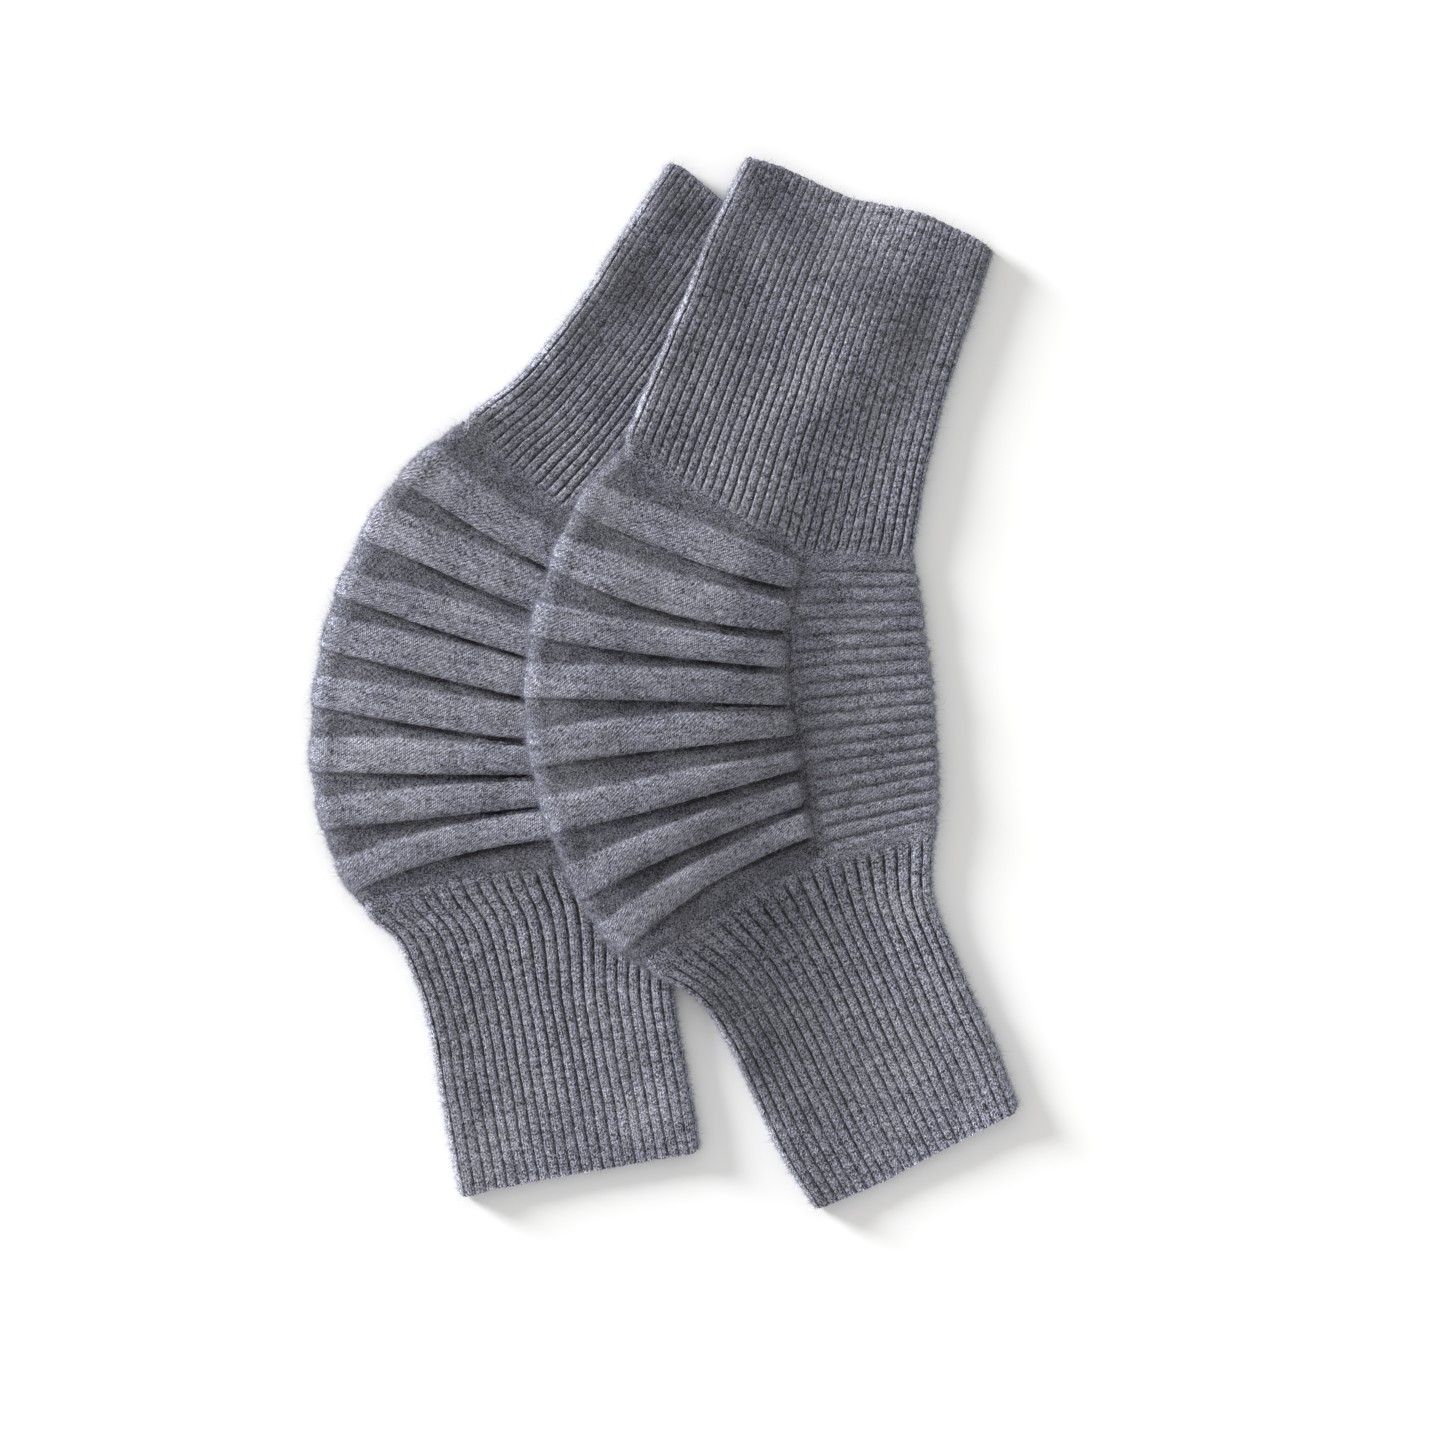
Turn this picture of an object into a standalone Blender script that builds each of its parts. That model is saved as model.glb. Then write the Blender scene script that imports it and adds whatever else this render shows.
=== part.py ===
"""A pair of ribbed wool knee warmers, laid flat, one partly over the other.

Each warmer is a knitted tube of four panels: a long ribbed thigh cuff, a knee front
that wraps round the front fold and carries eight raised welts, a knee back that wraps
round the back fold, and a ribbed calf cuff. Lying flat, the tube's two layers are one
on the other, so each row across it is a flat line between two rounded folds.

Tables are in millimetres: x to the right, y up the page, z up from the surface.
"""

from collections import namedtuple

import bpy
import numpy as np

MM = 0.001
COLLECTION = "knee_warmers"
CENTRE = np.array([-0.391, 0.597])  # middle of the footprint, which becomes the origin

# Cloth thickness and the air left inside the flattened tube
WALL = 2.3
CUFF_GAP = 1.2
KNEE_GAP = 2.8
SEAM_GAP = 0.35

# How far a welt stands out of the knee front: on top, at the fold and underneath
WELT_RISE = 3.4
WELT_RISE_FOLD = 1.8
WELT_RISE_UNDER = 0.8
WELT_END = 5.0  # a welt dies away over this length before the side seam

# The tube thickens from cuff to knee across each join
JOIN_IN_CUFF = 14.0
JOIN_IN_KNEE = 10.0

# At the calf mouth the layer underneath reaches this far past the layer on top
UNDER_LAYER_REACH = 2.4

# The warmer on top lies over the other one and comes down to the surface beside it
REST_CLEARANCE = 1.0
DRAPE_CELL = 2.5
DRAPE_REACH = 12.0
DRAPE_SOFTNESS = 7.0

# Rows and columns of the lofts: the draped warmer needs more than the flat one
KNEE_BACK_ROWS = 10
FOLD_COLUMNS = 4
Mesh = namedtuple("Mesh", "cuff_rows front_top front_under back_top back_under")
FLAT_MESH = Mesh(cuff_rows=8, front_top=6, front_under=3, back_top=3, back_under=2)
DRAPED_MESH = Mesh(cuff_rows=10, front_top=8, front_under=8, back_top=4, back_under=4)

Section = namedtuple("Section", "front_x front_y back_x back_y")
Line = namedtuple("Line", "fold seam bow")
Welt = namedtuple("Welt", "fold_top fold_bottom seam_top seam_bottom bow_top bow_bottom")
Warmer = namedtuple(
    "Warmer",
    "name mesh thigh rib_end welts calf_start calf front_fold side_seam back_fold mouth_wave",
)

# Across a welt from its upper edge to its lower one: share of its width, share of its rise
WELT_PROFILE = [(0.0, 0.0), (0.24, 1.0), (0.92, 1.0), (1.0, 0.0)]

UNDER = Warmer(
    name="under",
    mesh=FLAT_MESH,
    thigh=[
        Section(2.0, 220.5, 86.5, 147.5),
        Section(-19.5, 189.5, 70.0, 124.0),
        Section(-40.0, 160.5, 54.0, 97.5),
        Section(-59.5, 131.0, 39.0, 69.0),
        Section(-88.0, 109.5, 25.5, 39.5),
    ],
    rib_end=Line(109.5, 50.5, 1.5),
    welts=[
        Welt(103.0, 87.5, 47.5, 35.5, -3.9, -3.4),
        Welt(77.5, 61.5, 32.0, 18.0, 2.0, 0.0),
        Welt(48.5, 37.5, 14.5, 3.0, 2.5, -0.8),
        Welt(29.5, 15.5, 2.0, -10.5, 1.5, -1.5),
        Welt(5.0, -9.0, -12.2, -25.0, 0.0, -2.0),
        Welt(-22.0, -37.0, -27.0, -38.0, 1.5, -0.5),
        Welt(-47.5, -61.5, -39.2, -49.5, 1.5, 0.0),
        Welt(-74.0, -88.0, -50.8, -64.3, 3.8, 4.6),
    ],
    calf_start=Line(-96.0, -74.3, 6.0),
    calf=[
        Section(-125.5, -96.0, 9.0, -76.5),
        Section(-107.0, -122.5, 6.5, -100.5),
        Section(-99.0, -145.5, 3.5, -124.5),
        Section(-95.0, -168.5, 6.5, -147.5),
        Section(-90.5, -192.0, 11.0, -171.0),
        Section(-87.0, -214.5, 15.0, -195.0),
    ],
    front_fold=[
        (-88.0, 109.5), (-103.5, 98.0), (-117.0, 83.0), (-128.0, 66.0), (-138.0, 46.0),
        (-145.0, 23.0), (-150.0, -5.0), (-150.5, -25.0), (-148.0, -48.0), (-142.0, -70.0),
        (-134.0, -86.0), (-125.5, -96.0),
    ],
    side_seam=[(-14.5, 50.5), (-24.0, 27.0), (-32.0, -6.0), (-38.0, -40.0), (-38.0, -74.3)],
    back_fold=[(25.5, 39.5), (26.0, 27.0), (24.0, 7.5), (18.5, -30.0), (13.5, -55.0), (9.0, -76.5)],
    mouth_wave=[(0.0, 0.0), (1.0, 0.0)],
)

OVER = Warmer(
    name="over",
    mesh=DRAPED_MESH,
    thigh=[
        Section(33.5, 221.5, 138.5, 182.5),
        Section(19.0, 190.5, 127.5, 150.5),
        Section(6.5, 160.0, 117.5, 119.0),
        Section(-6.5, 128.5, 109.5, 86.5),
        Section(-20.0, 98.0, 104.0, 53.5),
    ],
    rib_end=Line(98.0, 54.5, 1.5),
    welts=[
        Welt(86.0, 74.0, 51.5, 40.0, 0.0, -4.2),
        Welt(64.0, 49.0, 36.0, 22.5, -3.4, -6.3),
        Welt(35.5, 20.0, 19.0, 7.0, -2.5, -1.7),
        Welt(9.0, -5.5, 4.5, -8.8, 0.8, 0.0),
        Welt(-19.5, -35.0, -10.5, -21.5, 2.9, 0.8),
        Welt(-47.0, -63.0, -26.5, -35.0, 0.0, -1.0),
        Welt(-76.5, -91.5, -39.5, -50.0, 2.5, 3.0),
        Welt(-102.0, -114.5, -51.7, -64.0, 4.6, 7.0),
    ],
    calf_start=Line(-119.0, -74.3, 4.6),
    calf=[
        Section(-10.5, -119.0, 113.5, -61.5),
        Section(14.0, -133.0, 112.5, -86.0),
        Section(27.5, -153.5, 120.0, -108.0),
        Section(38.5, -176.5, 129.5, -130.5),
        Section(49.0, -198.5, 140.0, -152.5),
        Section(61.0, -219.0, 149.0, -177.0),
    ],
    front_fold=[
        (-20.0, 98.0), (-32.0, 85.0), (-44.0, 64.0), (-52.0, 41.0), (-58.0, 12.0), (-59.2, -12.0),
        (-56.0, -35.0), (-49.0, -60.0), (-38.5, -87.0), (-27.5, -105.5), (-17.5, -116.0),
        (-10.5, -119.0),
    ],
    side_seam=[(61.0, 54.5), (58.0, 27.0), (57.0, -6.0), (58.0, -40.0), (65.0, -74.3)],
    back_fold=[
        (104.0, 53.5), (107.5, 44.0), (111.7, 23.0), (115.0, -2.0), (116.3, -31.5), (115.8, -54.5),
        (113.5, -61.5),
    ],
    mouth_wave=[(0.0, 0.0), (0.15, 1.3), (0.36, -2.0), (0.70, 4.6), (0.9, 3.0), (1.0, 0.0)],
)


def smoothstep(value):
    value = np.clip(value, 0.0, 1.0)
    return value * value * (3.0 - 2.0 * value)


def on_curve(points, where):
    """The smooth curve through the points, at fractions of its length."""
    points = np.asarray(points, float)
    steps = np.linalg.norm(np.diff(points[:, :2], axis=0), axis=1)
    knots = np.concatenate([[0.0], np.cumsum(steps)]) / steps.sum()
    slopes = np.gradient(points, knots, axis=0)
    where = np.atleast_1d(where)
    span = np.clip(np.searchsorted(knots, where, side="right") - 1, 0, len(knots) - 2)
    width = knots[span + 1] - knots[span]
    part = ((where - knots[span]) / width)[:, None]
    width = width[:, None]
    return (
        (2 * part**3 - 3 * part**2 + 1) * points[span]
        + (part**3 - 2 * part**2 + part) * width * slopes[span]
        + (3 * part**2 - 2 * part**3) * points[span + 1]
        + (part**3 - part**2) * width * slopes[span + 1]
    )


def at_height(points, y):
    """The point of a curve that runs down the page, at the height y."""
    dense = on_curve(points, np.linspace(0.0, 1.0, 200))
    return np.array([np.interp(-y, -dense[:, 1], dense[:, 0]), y])


def bowed(start, end, bow, where):
    """Points from start to end on an arc whose middle lies bow above the straight line."""
    where = np.asarray(where)[:, None]
    points = start + (end - start) * where
    points[:, 1] += 4.0 * bow * (where * (1.0 - where))[:, 0]
    return points


def knee_lines(warmer):
    """The rows of the knee front from rib end to calf start, and each row's share of welt rise."""
    lines = [(warmer.rib_end, 0.0)]
    for welt in warmer.welts:
        for share, rise in WELT_PROFILE:
            line = Line(
                welt.fold_top + (welt.fold_bottom - welt.fold_top) * share,
                welt.seam_top + (welt.seam_bottom - welt.seam_top) * share,
                welt.bow_top + (welt.bow_bottom - welt.bow_top) * share,
            )
            lines.append((line, rise))
    lines.append((warmer.calf_start, 0.0))
    return lines


def front_line(warmer, line, where):
    """A row of the knee front from the front fold to the side seam."""
    fold = at_height(warmer.front_fold, line.fold)
    seam = at_height(warmer.side_seam, line.seam)
    return bowed(fold, seam, line.bow, where)


def back_line(warmer, share, where):
    """A row of the knee back from the side seam to the back fold, share of the way down."""
    seam_y = warmer.rib_end.seam + (warmer.calf_start.seam - warmer.rib_end.seam) * share
    back_y = warmer.back_fold[0][1] + (warmer.back_fold[-1][1] - warmer.back_fold[0][1]) * share
    seam = at_height(warmer.side_seam, seam_y)
    back = at_height(warmer.back_fold, back_y)
    return bowed(seam, back, 0.0, where)


def seam_place(warmer, sections, line):
    """How far along the row at the knee a cuff meets the side seam."""
    seam = at_height(warmer.side_seam, line.seam)
    return (seam[0] - sections[-1].front_x) / (sections[-1].back_x - sections[-1].front_x)


def cuff_line(warmer, sections, line, share, where):
    """A row of a cuff from front fold to back fold; share is 0 at the mouth and 1 at the knee."""
    where = np.asarray(where, float)
    front = on_curve([(row.front_x, row.front_y) for row in sections], share)[0]
    back = on_curve([(row.back_x, row.back_y) for row in sections], share)[0]
    points = bowed(front, back, 0.0, where)
    knee_front = np.array([sections[-1].front_x, sections[-1].front_y])
    knee_back = np.array([sections[-1].back_x, sections[-1].back_y])
    seam = at_height(warmer.side_seam, line.seam)
    seam_share = seam_place(warmer, sections, line)
    shaped = np.where(
        (where < seam_share)[:, None],
        front_line(warmer, line, where / seam_share),
        bowed(seam, knee_back, 0.0, (where - seam_share) / (1.0 - seam_share)),
    )
    points += (shaped - bowed(knee_front, knee_back, 0.0, where)) * share**3
    return points


def spread(front_count, back_count, front, back, seam_share):
    """Places along a row of a front panel, a back panel, or a cuff with one of each."""
    if not back:
        return np.linspace(0.0, 1.0, front_count + 1)
    if not front:
        return np.linspace(0.0, 1.0, back_count + 1)
    before = np.linspace(0.0, seam_share, front_count + 1)
    return np.concatenate([before, np.linspace(seam_share, 1.0, back_count + 1)[1:]])


def columns(mesh, front, back, seam_share):
    """Columns round a flattened row: place along the row, tilt of the cloth, side of the fold.

    The tilt is +90 degrees on the top layer, -90 on the layer underneath. A cuff has the columns
    of both knee panels, so that the pieces meet at the same points.
    """
    top = spread(mesh.front_top, mesh.back_top, front, back, seam_share)
    under = spread(mesh.front_under, mesh.back_under, front, back, seam_share)[::-1]
    turn = np.linspace(90.0, -90.0, FOLD_COLUMNS + 1)[1:-1]
    place = [top, np.ones(len(turn)), under, np.zeros(len(turn))]
    tilt = [np.full(len(top), 90.0), turn, np.full(len(under), -90.0), turn[::-1]]
    side = [np.zeros(len(top)), np.ones(len(turn)), np.zeros(len(under)), -np.ones(len(turn))]
    if front and back:
        parts = [0, 1, 2, 3]
    elif front:
        parts = [2, 3, 0]
    else:
        parts = [0, 1, 2]
    return [np.concatenate([values[i] for i in parts]) for values in (place, tilt, side)]


def knit_row(line, mesh, distance, rise, front, back, seam_share=0.0, shift_under=(0.0, 0.0)):
    """Outer and inner points of one row. line(where) gives the row in plan, and distance is how
    far inside the knee the row lies, which sets its thickness."""
    knee = smoothstep((distance + JOIN_IN_CUFF) / (JOIN_IN_CUFF + JOIN_IN_KNEE))
    gap = CUFF_GAP + (KNEE_GAP - CUFF_GAP) * knee
    half = WALL + gap / 2
    lift = WELT_RISE_UNDER * knee
    fold_inset = half + WELT_RISE_FOLD * knee
    ends = line([0.0, 0.02, 0.98, 1.0])
    length = np.linalg.norm(ends[3] - ends[0])
    inward_front = (ends[1] - ends[0]) / np.linalg.norm(ends[1] - ends[0])
    inward_back = (ends[2] - ends[3]) / np.linalg.norm(ends[2] - ends[3])
    first = fold_inset / length if front else 0.0
    last = 1.0 - (half / length if back else 0.0)

    place, tilt, side = columns(mesh, front, back, seam_share)
    tilt = np.radians(tilt)
    centres = line(first + (last - first) * place)
    outward = np.where(
        (side < 0)[:, None],
        -inward_front,
        np.where((side > 0)[:, None], -inward_back, np.zeros(2)),
    )
    normals = np.column_stack([outward * np.cos(tilt)[:, None], np.sin(tilt)])
    centres = centres + np.outer((1.0 - np.sin(tilt)) / 2, shift_under)
    middle = np.column_stack([centres, np.full(len(centres), lift + half)])
    to_seam = (1.0 - place) * length
    fade = smoothstep(to_seam / WELT_END) if not back else np.zeros(len(place))
    most = np.interp(np.sin(tilt), [-1, 0, 1], [lift, WELT_RISE_FOLD, WELT_RISE])
    outer = middle + normals * (half + rise * most * fade)[:, None]
    inner = middle + normals * (gap / 2)
    return outer, inner


def cuff(warmer, sections, line, mouth_wave, mouth_reach):
    """Rows of a ribbed cuff from its mouth to the knee."""
    mouth, knee = sections[0], sections[-1]
    along = np.array([mouth.front_x - knee.front_x, mouth.front_y - knee.front_y])
    length = np.linalg.norm(along)
    along /= length
    rows = []
    seam_share = seam_place(warmer, sections, line)
    for share in np.linspace(0.0, 1.0 - SEAM_GAP / 2 / length, warmer.mesh.cuff_rows):
        near_mouth = (1.0 - share) ** 6

        def plan(where, share=share, near_mouth=near_mouth):
            points = cuff_line(warmer, sections, line, share, where)
            wave = np.interp(where, *np.transpose(mouth_wave))
            return points + np.outer(wave * near_mouth, along)

        reach = along * mouth_reach * (share == 0.0)
        distance = (share - 1.0) * length
        rows.append(knit_row(plan, warmer.mesh, distance, 0.0, True, True, seam_share, reach))
    return rows


def knee_front(warmer):
    """Rows of the knee front, four to each welt."""
    lines = knee_lines(warmer)
    seams = np.array([line.seam for line, rise in lines])
    rows = []
    for index, (line, rise) in enumerate(lines):
        if index == 0:
            line = Line(line.fold - SEAM_GAP / 2, line.seam - SEAM_GAP / 2, line.bow)
        if index == len(lines) - 1:
            line = Line(line.fold + SEAM_GAP / 2, line.seam + SEAM_GAP / 2, line.bow)
        inside = min(seams[0] - line.seam, line.seam - seams[-1])

        def plan(where, line=line):
            length = abs(warmer.side_seam[0][0] - warmer.front_fold[0][0])
            return front_line(warmer, line, np.asarray(where) * (1.0 - SEAM_GAP / 2 / length))

        rows.append(knit_row(plan, warmer.mesh, inside, rise, True, False))
    return rows


def knee_back(warmer):
    """Rows of the knee back, from the rib end down to the calf."""
    height = warmer.rib_end.seam - warmer.calf_start.seam
    trim = SEAM_GAP / 2 / height
    rows = []
    for share in np.linspace(trim, 1.0 - trim, KNEE_BACK_ROWS):
        inside = min(share, 1.0 - share) * height

        def plan(where, share=share):
            length = abs(warmer.back_fold[0][0] - warmer.side_seam[0][0])
            first = SEAM_GAP / 2 / length
            return back_line(warmer, share, first + (1.0 - first) * np.asarray(where))

        rows.append(knit_row(plan, warmer.mesh, inside, 0.0, False, True))
    return rows


def panels_of(warmer):
    """The four panels: name, rows of outer and inner points, and whether each row closes."""
    straight = [(0.0, 0.0), (1.0, 0.0)]
    calf = cuff(warmer, warmer.calf[::-1], warmer.calf_start, straight, UNDER_LAYER_REACH)
    return [
        ("thigh_cuff", cuff(warmer, warmer.thigh, warmer.rib_end, warmer.mouth_wave, 0.0), True),
        ("knee_front", knee_front(warmer), False),
        ("knee_back", knee_back(warmer), False),
        ("calf_cuff", calf[::-1], True),
    ]


def resting_height(panels):
    """How high the warmer on top lies: a soft cover over the warmer underneath, as a function."""
    grids = []
    for name, rows, closed in panels:
        grid = np.array([outer for outer, inner in rows])
        if closed:
            grid = np.concatenate([grid, grid[:, :1]], axis=1)
        grids.append(grid)
    margin = DRAPE_REACH + 3 * DRAPE_SOFTNESS
    everything = np.concatenate([grid.reshape(-1, 3) for grid in grids])
    low = everything[:, :2].min(axis=0) - margin
    size = np.ceil((everything[:, :2].max(axis=0) + margin - low) / DRAPE_CELL).astype(int) + 1
    height = np.zeros(size)
    steps = np.linspace(0.0, 1.0, 9)
    for grid in grids:
        for a in steps:
            for b in steps:
                near = grid[:-1] * (1 - a) + grid[1:] * a
                point = near[:, :-1] * (1 - b) + near[:, 1:] * b
                point = point.reshape(-1, 3)
                cell = np.round((point[:, :2] - low) / DRAPE_CELL).astype(int)
                np.maximum.at(height, (cell[:, 0], cell[:, 1]), point[:, 2])
    height = np.where(height > 0, height + REST_CLEARANCE, 0.0)

    reach = int(np.ceil(DRAPE_REACH / DRAPE_CELL))
    spread = height.copy()
    for dx in range(-reach, reach + 1):
        for dy in range(-reach, reach + 1):
            if np.hypot(dx, dy) * DRAPE_CELL <= DRAPE_REACH:
                spread = np.maximum(spread, np.roll(height, (dx, dy), axis=(0, 1)))
    offsets = np.arange(-3 * DRAPE_SOFTNESS, 3 * DRAPE_SOFTNESS + DRAPE_CELL, DRAPE_CELL)
    weights = np.exp(-0.5 * (offsets / DRAPE_SOFTNESS) ** 2)
    weights /= weights.sum()
    for axis in (0, 1):
        spread = np.apply_along_axis(np.convolve, axis, spread, weights, "same")

    def cover(points):
        where = np.clip((points[:, :2] - low) / DRAPE_CELL, 0, np.array(size) - 1.001)
        cell = where.astype(int)
        part = where - cell
        x, y = cell[:, 0], cell[:, 1]
        across, up = part[:, 0], part[:, 1]
        return (
            spread[x, y] * (1 - across) * (1 - up)
            + spread[x + 1, y] * across * (1 - up)
            + spread[x, y + 1] * (1 - across) * up
            + spread[x + 1, y + 1] * across * up
        )

    return cover


def wool(name, colour):
    material = bpy.data.materials.new(name)
    material.use_nodes = True
    shader = material.node_tree.nodes["Principled BSDF"]
    shader.inputs["Base Color"].default_value = (*colour, 1.0)
    shader.inputs["Roughness"].default_value = 0.95
    shader.inputs["Metallic"].default_value = 0.0
    return material


def shell(name, rows, closed, material, parent, collection):
    """A closed wall lofted through unlike rows: an outer and an inner surface, with a rim along
    every open edge."""
    outer = np.array([row[0] for row in rows])
    inner = np.array([row[1] for row in rows])
    count, around = outer.shape[:2]
    points = np.concatenate([outer.reshape(-1, 3), inner.reshape(-1, 3)])
    points[:, :2] -= CENTRE
    inside = count * around

    faces = []
    for i in range(count - 1):
        for j in range(around if closed else around - 1):
            a, b = i * around + j, i * around + (j + 1) % around
            c, d = b + around, a + around
            faces.append((d, c, b, a))
            faces.append((inside + a, inside + b, inside + c, inside + d))
    for j in range(around if closed else around - 1):
        a, b = j, (j + 1) % around
        faces.append((a, b, inside + b, inside + a))
        a, b = (count - 1) * around + a, (count - 1) * around + b
        faces.append((b, a, inside + a, inside + b))
    if not closed:
        for i in range(count - 1):
            a, d = i * around, (i + 1) * around
            faces.append((d, a, inside + a, inside + d))
            a, d = a + around - 1, d + around - 1
            faces.append((a, d, inside + d, inside + a))

    mesh = bpy.data.meshes.new(name)
    mesh.from_pydata((points * MM).tolist(), [], faces)
    mesh.materials.append(material)
    mesh.validate()
    mesh.shade_smooth()
    piece = bpy.data.objects.new(name, mesh)
    piece.parent = parent
    collection.objects.link(piece)


def main():
    for thing in list(bpy.data.objects):
        bpy.data.objects.remove(thing)
    collection = bpy.data.collections.new(COLLECTION)
    bpy.context.scene.collection.children.link(collection)
    colours = {
        "thigh_cuff": wool("rib_wool", (0.147, 0.147, 0.175)),
        "calf_cuff": wool("rib_wool_calf", (0.147, 0.147, 0.175)),
        "knee_front": wool("welt_wool", (0.165, 0.165, 0.195)),
        "knee_back": wool("ridge_wool", (0.150, 0.150, 0.180)),
    }
    under = panels_of(UNDER)
    over = panels_of(OVER)
    cover = resting_height(under)
    for warmer, panels in ((UNDER, under), (OVER, over)):
        holder = bpy.data.objects.new(f"{warmer.name}_warmer", None)
        collection.objects.link(holder)
        for name, rows, closed in panels:
            if warmer is OVER:
                for outer, inner in rows:
                    outer[:, 2] += cover(outer)
                    inner[:, 2] += cover(inner)
            shell(f"{warmer.name}_{name}", rows, closed, colours[name], holder, collection)


main()
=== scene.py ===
# %% [markdown]
# # A pair of knitted knee warmers
#
# Each warmer is one knitted tube that lies flat: a long ribbed cuff for the thigh, a curved
# knee with eight raised welts across its front and fine ridges at its back, and a ribbed
# cuff for the calf. One warmer lies partly over the other. This script dresses the plain
# solids of the pair as heathered grey wool: every panel is shaped again with its ribs, welts
# and ridges, and gets its stitches and its loose fibres.

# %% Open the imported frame
from collections import namedtuple

import bpy
import numpy as np
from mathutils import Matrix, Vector


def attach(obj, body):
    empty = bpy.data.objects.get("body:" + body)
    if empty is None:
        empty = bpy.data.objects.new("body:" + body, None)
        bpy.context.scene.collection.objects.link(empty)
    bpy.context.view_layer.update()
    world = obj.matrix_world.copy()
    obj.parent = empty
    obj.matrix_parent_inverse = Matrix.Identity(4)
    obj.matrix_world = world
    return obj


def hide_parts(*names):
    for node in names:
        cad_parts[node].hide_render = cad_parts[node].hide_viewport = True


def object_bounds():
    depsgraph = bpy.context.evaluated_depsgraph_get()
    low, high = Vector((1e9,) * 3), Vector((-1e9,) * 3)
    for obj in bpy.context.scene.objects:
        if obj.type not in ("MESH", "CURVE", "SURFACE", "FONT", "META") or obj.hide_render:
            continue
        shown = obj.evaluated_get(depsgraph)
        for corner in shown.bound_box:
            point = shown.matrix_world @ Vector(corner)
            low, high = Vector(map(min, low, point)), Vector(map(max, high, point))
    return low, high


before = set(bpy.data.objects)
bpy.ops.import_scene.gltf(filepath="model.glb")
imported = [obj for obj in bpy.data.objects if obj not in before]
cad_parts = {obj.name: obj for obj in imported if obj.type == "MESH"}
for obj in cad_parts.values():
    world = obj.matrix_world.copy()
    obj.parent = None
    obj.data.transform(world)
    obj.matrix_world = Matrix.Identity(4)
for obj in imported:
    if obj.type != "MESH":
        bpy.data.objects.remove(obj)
cad_box = [list(corner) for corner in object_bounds()]
print("solids:", sorted(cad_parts), "box:", cad_box)

# %% [markdown]
# ## The camera and the light
#
# The pair lies on a white table and is seen from straight above. A long lens keeps the view
# as even as a flat lay needs. The light is one broad soft source low on the left and a little
# towards the thighs, so that every fold has a bright left side and a long soft shadow falls
# to the right. A lamp close by would light one end more than the other. A sun lamp with a
# wide angle gives the same strength all over the table.

# %% Camera
MM = 0.001
VIEW_WIDTH = 0.6048
VIEW_CENTRE = (0.0235, -0.0153, 0.010)
LENS, SENSOR = 200.0, 36.0

camera_data = bpy.data.cameras.new("overhead")
camera_data.lens = LENS
camera_data.sensor_width = SENSOR
camera_data.clip_end = 20.0
camera = bpy.data.objects.new("overhead", camera_data)
bpy.context.collection.objects.link(camera)
distance = VIEW_WIDTH * LENS / SENSOR
camera.location = (VIEW_CENTRE[0], VIEW_CENTRE[1], VIEW_CENTRE[2] + distance)
bpy.context.scene.camera = camera
print("camera", round(distance, 3), "m above the pair")

# %% Light and table
BELOW_CLOTH = 0.0002  # keeps the table from flickering through the undersides

sun_data = bpy.data.lights.new("window_light", "SUN")
sun_data.energy = 5.3
sun_data.angle = np.radians(18.0)
sun_data.color = (0.99, 0.995, 1.0)
sun = bpy.data.objects.new("window_light", sun_data)
towards_light = Vector((-0.86, 0.51, 0.26))
sun.rotation_mode = "QUATERNION"
sun.rotation_quaternion = towards_light.to_track_quat("Z", "Y")
bpy.context.collection.objects.link(sun)

world = bpy.data.worlds.new("white_room")
world.use_nodes = True
sky = world.node_tree.nodes["Background"]
sky.inputs["Color"].default_value = (1.0, 0.99, 0.98, 1.0)
sky.inputs["Strength"].default_value = 0.72
bpy.context.scene.world = world
bpy.context.scene.view_settings.view_transform = "Standard"

bpy.ops.object.select_all(action="DESELECT")
bpy.ops.mesh.primitive_plane_add(size=6.0, location=(0.0, 0.0, cad_box[0][2] - BELOW_CLOTH))
table = bpy.context.object
table.name = "table_top"
white = bpy.data.materials.new("white_table")
white.use_nodes = True
white_shader = white.node_tree.nodes["Principled BSDF"]
white_shader.inputs["Base Color"].default_value = (0.93, 0.93, 0.93, 1.0)
white_shader.inputs["Roughness"].default_value = 0.9
table.data.materials.append(white)
print(table.name, "lies", BELOW_CLOTH / MM, "mm below the cloth")

# %% [markdown]
# ## The measures
#
# The tables hold the outline of each warmer as it lies, in millimetres, x to the right and y
# up the page, and every list runs down the page. A section is a straight row across a cuff,
# from its front fold to its back fold. A line is a row of the knee front, by its heights at
# the fold and at the side seam and by how far it bows up between them. A welt has such a line
# at its upper edge and one at its lower edge. The folds and the seam are smooth curves
# through their points, and a wave says how far a mouth reaches at each share of its width.

# %% Kinds of measures
CENTRE = np.array([-0.391, 0.597])  # the middle of the pair, which becomes the origin
WALL = 2.3
CUFF_GAP, KNEE_GAP = 1.2, 2.8  # the air between the two layers
WELT_RISE, WELT_RISE_FOLD, WELT_RISE_UNDER = 3.2, 1.8, 0.8  # on top, at the fold, beneath
WELT_END = 2.6  # a welt dies away over this length
JOIN_IN_CUFF, JOIN_IN_KNEE = 14.0, 10.0  # the tube thickens over this much of each

Section = namedtuple("Section", "front_x front_y back_x back_y")
Line = namedtuple("Line", "fold seam bow")
Welt = namedtuple("Welt", "fold_top fold_bottom seam_top seam_bottom bow_top bow_bottom")
Warmer = namedtuple(
    "Warmer",
    "name reach_fade thigh rib_end welts calf_start calf front_fold side_seam back_fold "
    "thigh_wave calf_wave",
)
# reach_fade: the reach past a mouth's last section fades out over 1 / reach_fade of the cuff
print("a warmer has", len(Warmer._fields), "measures")

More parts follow.
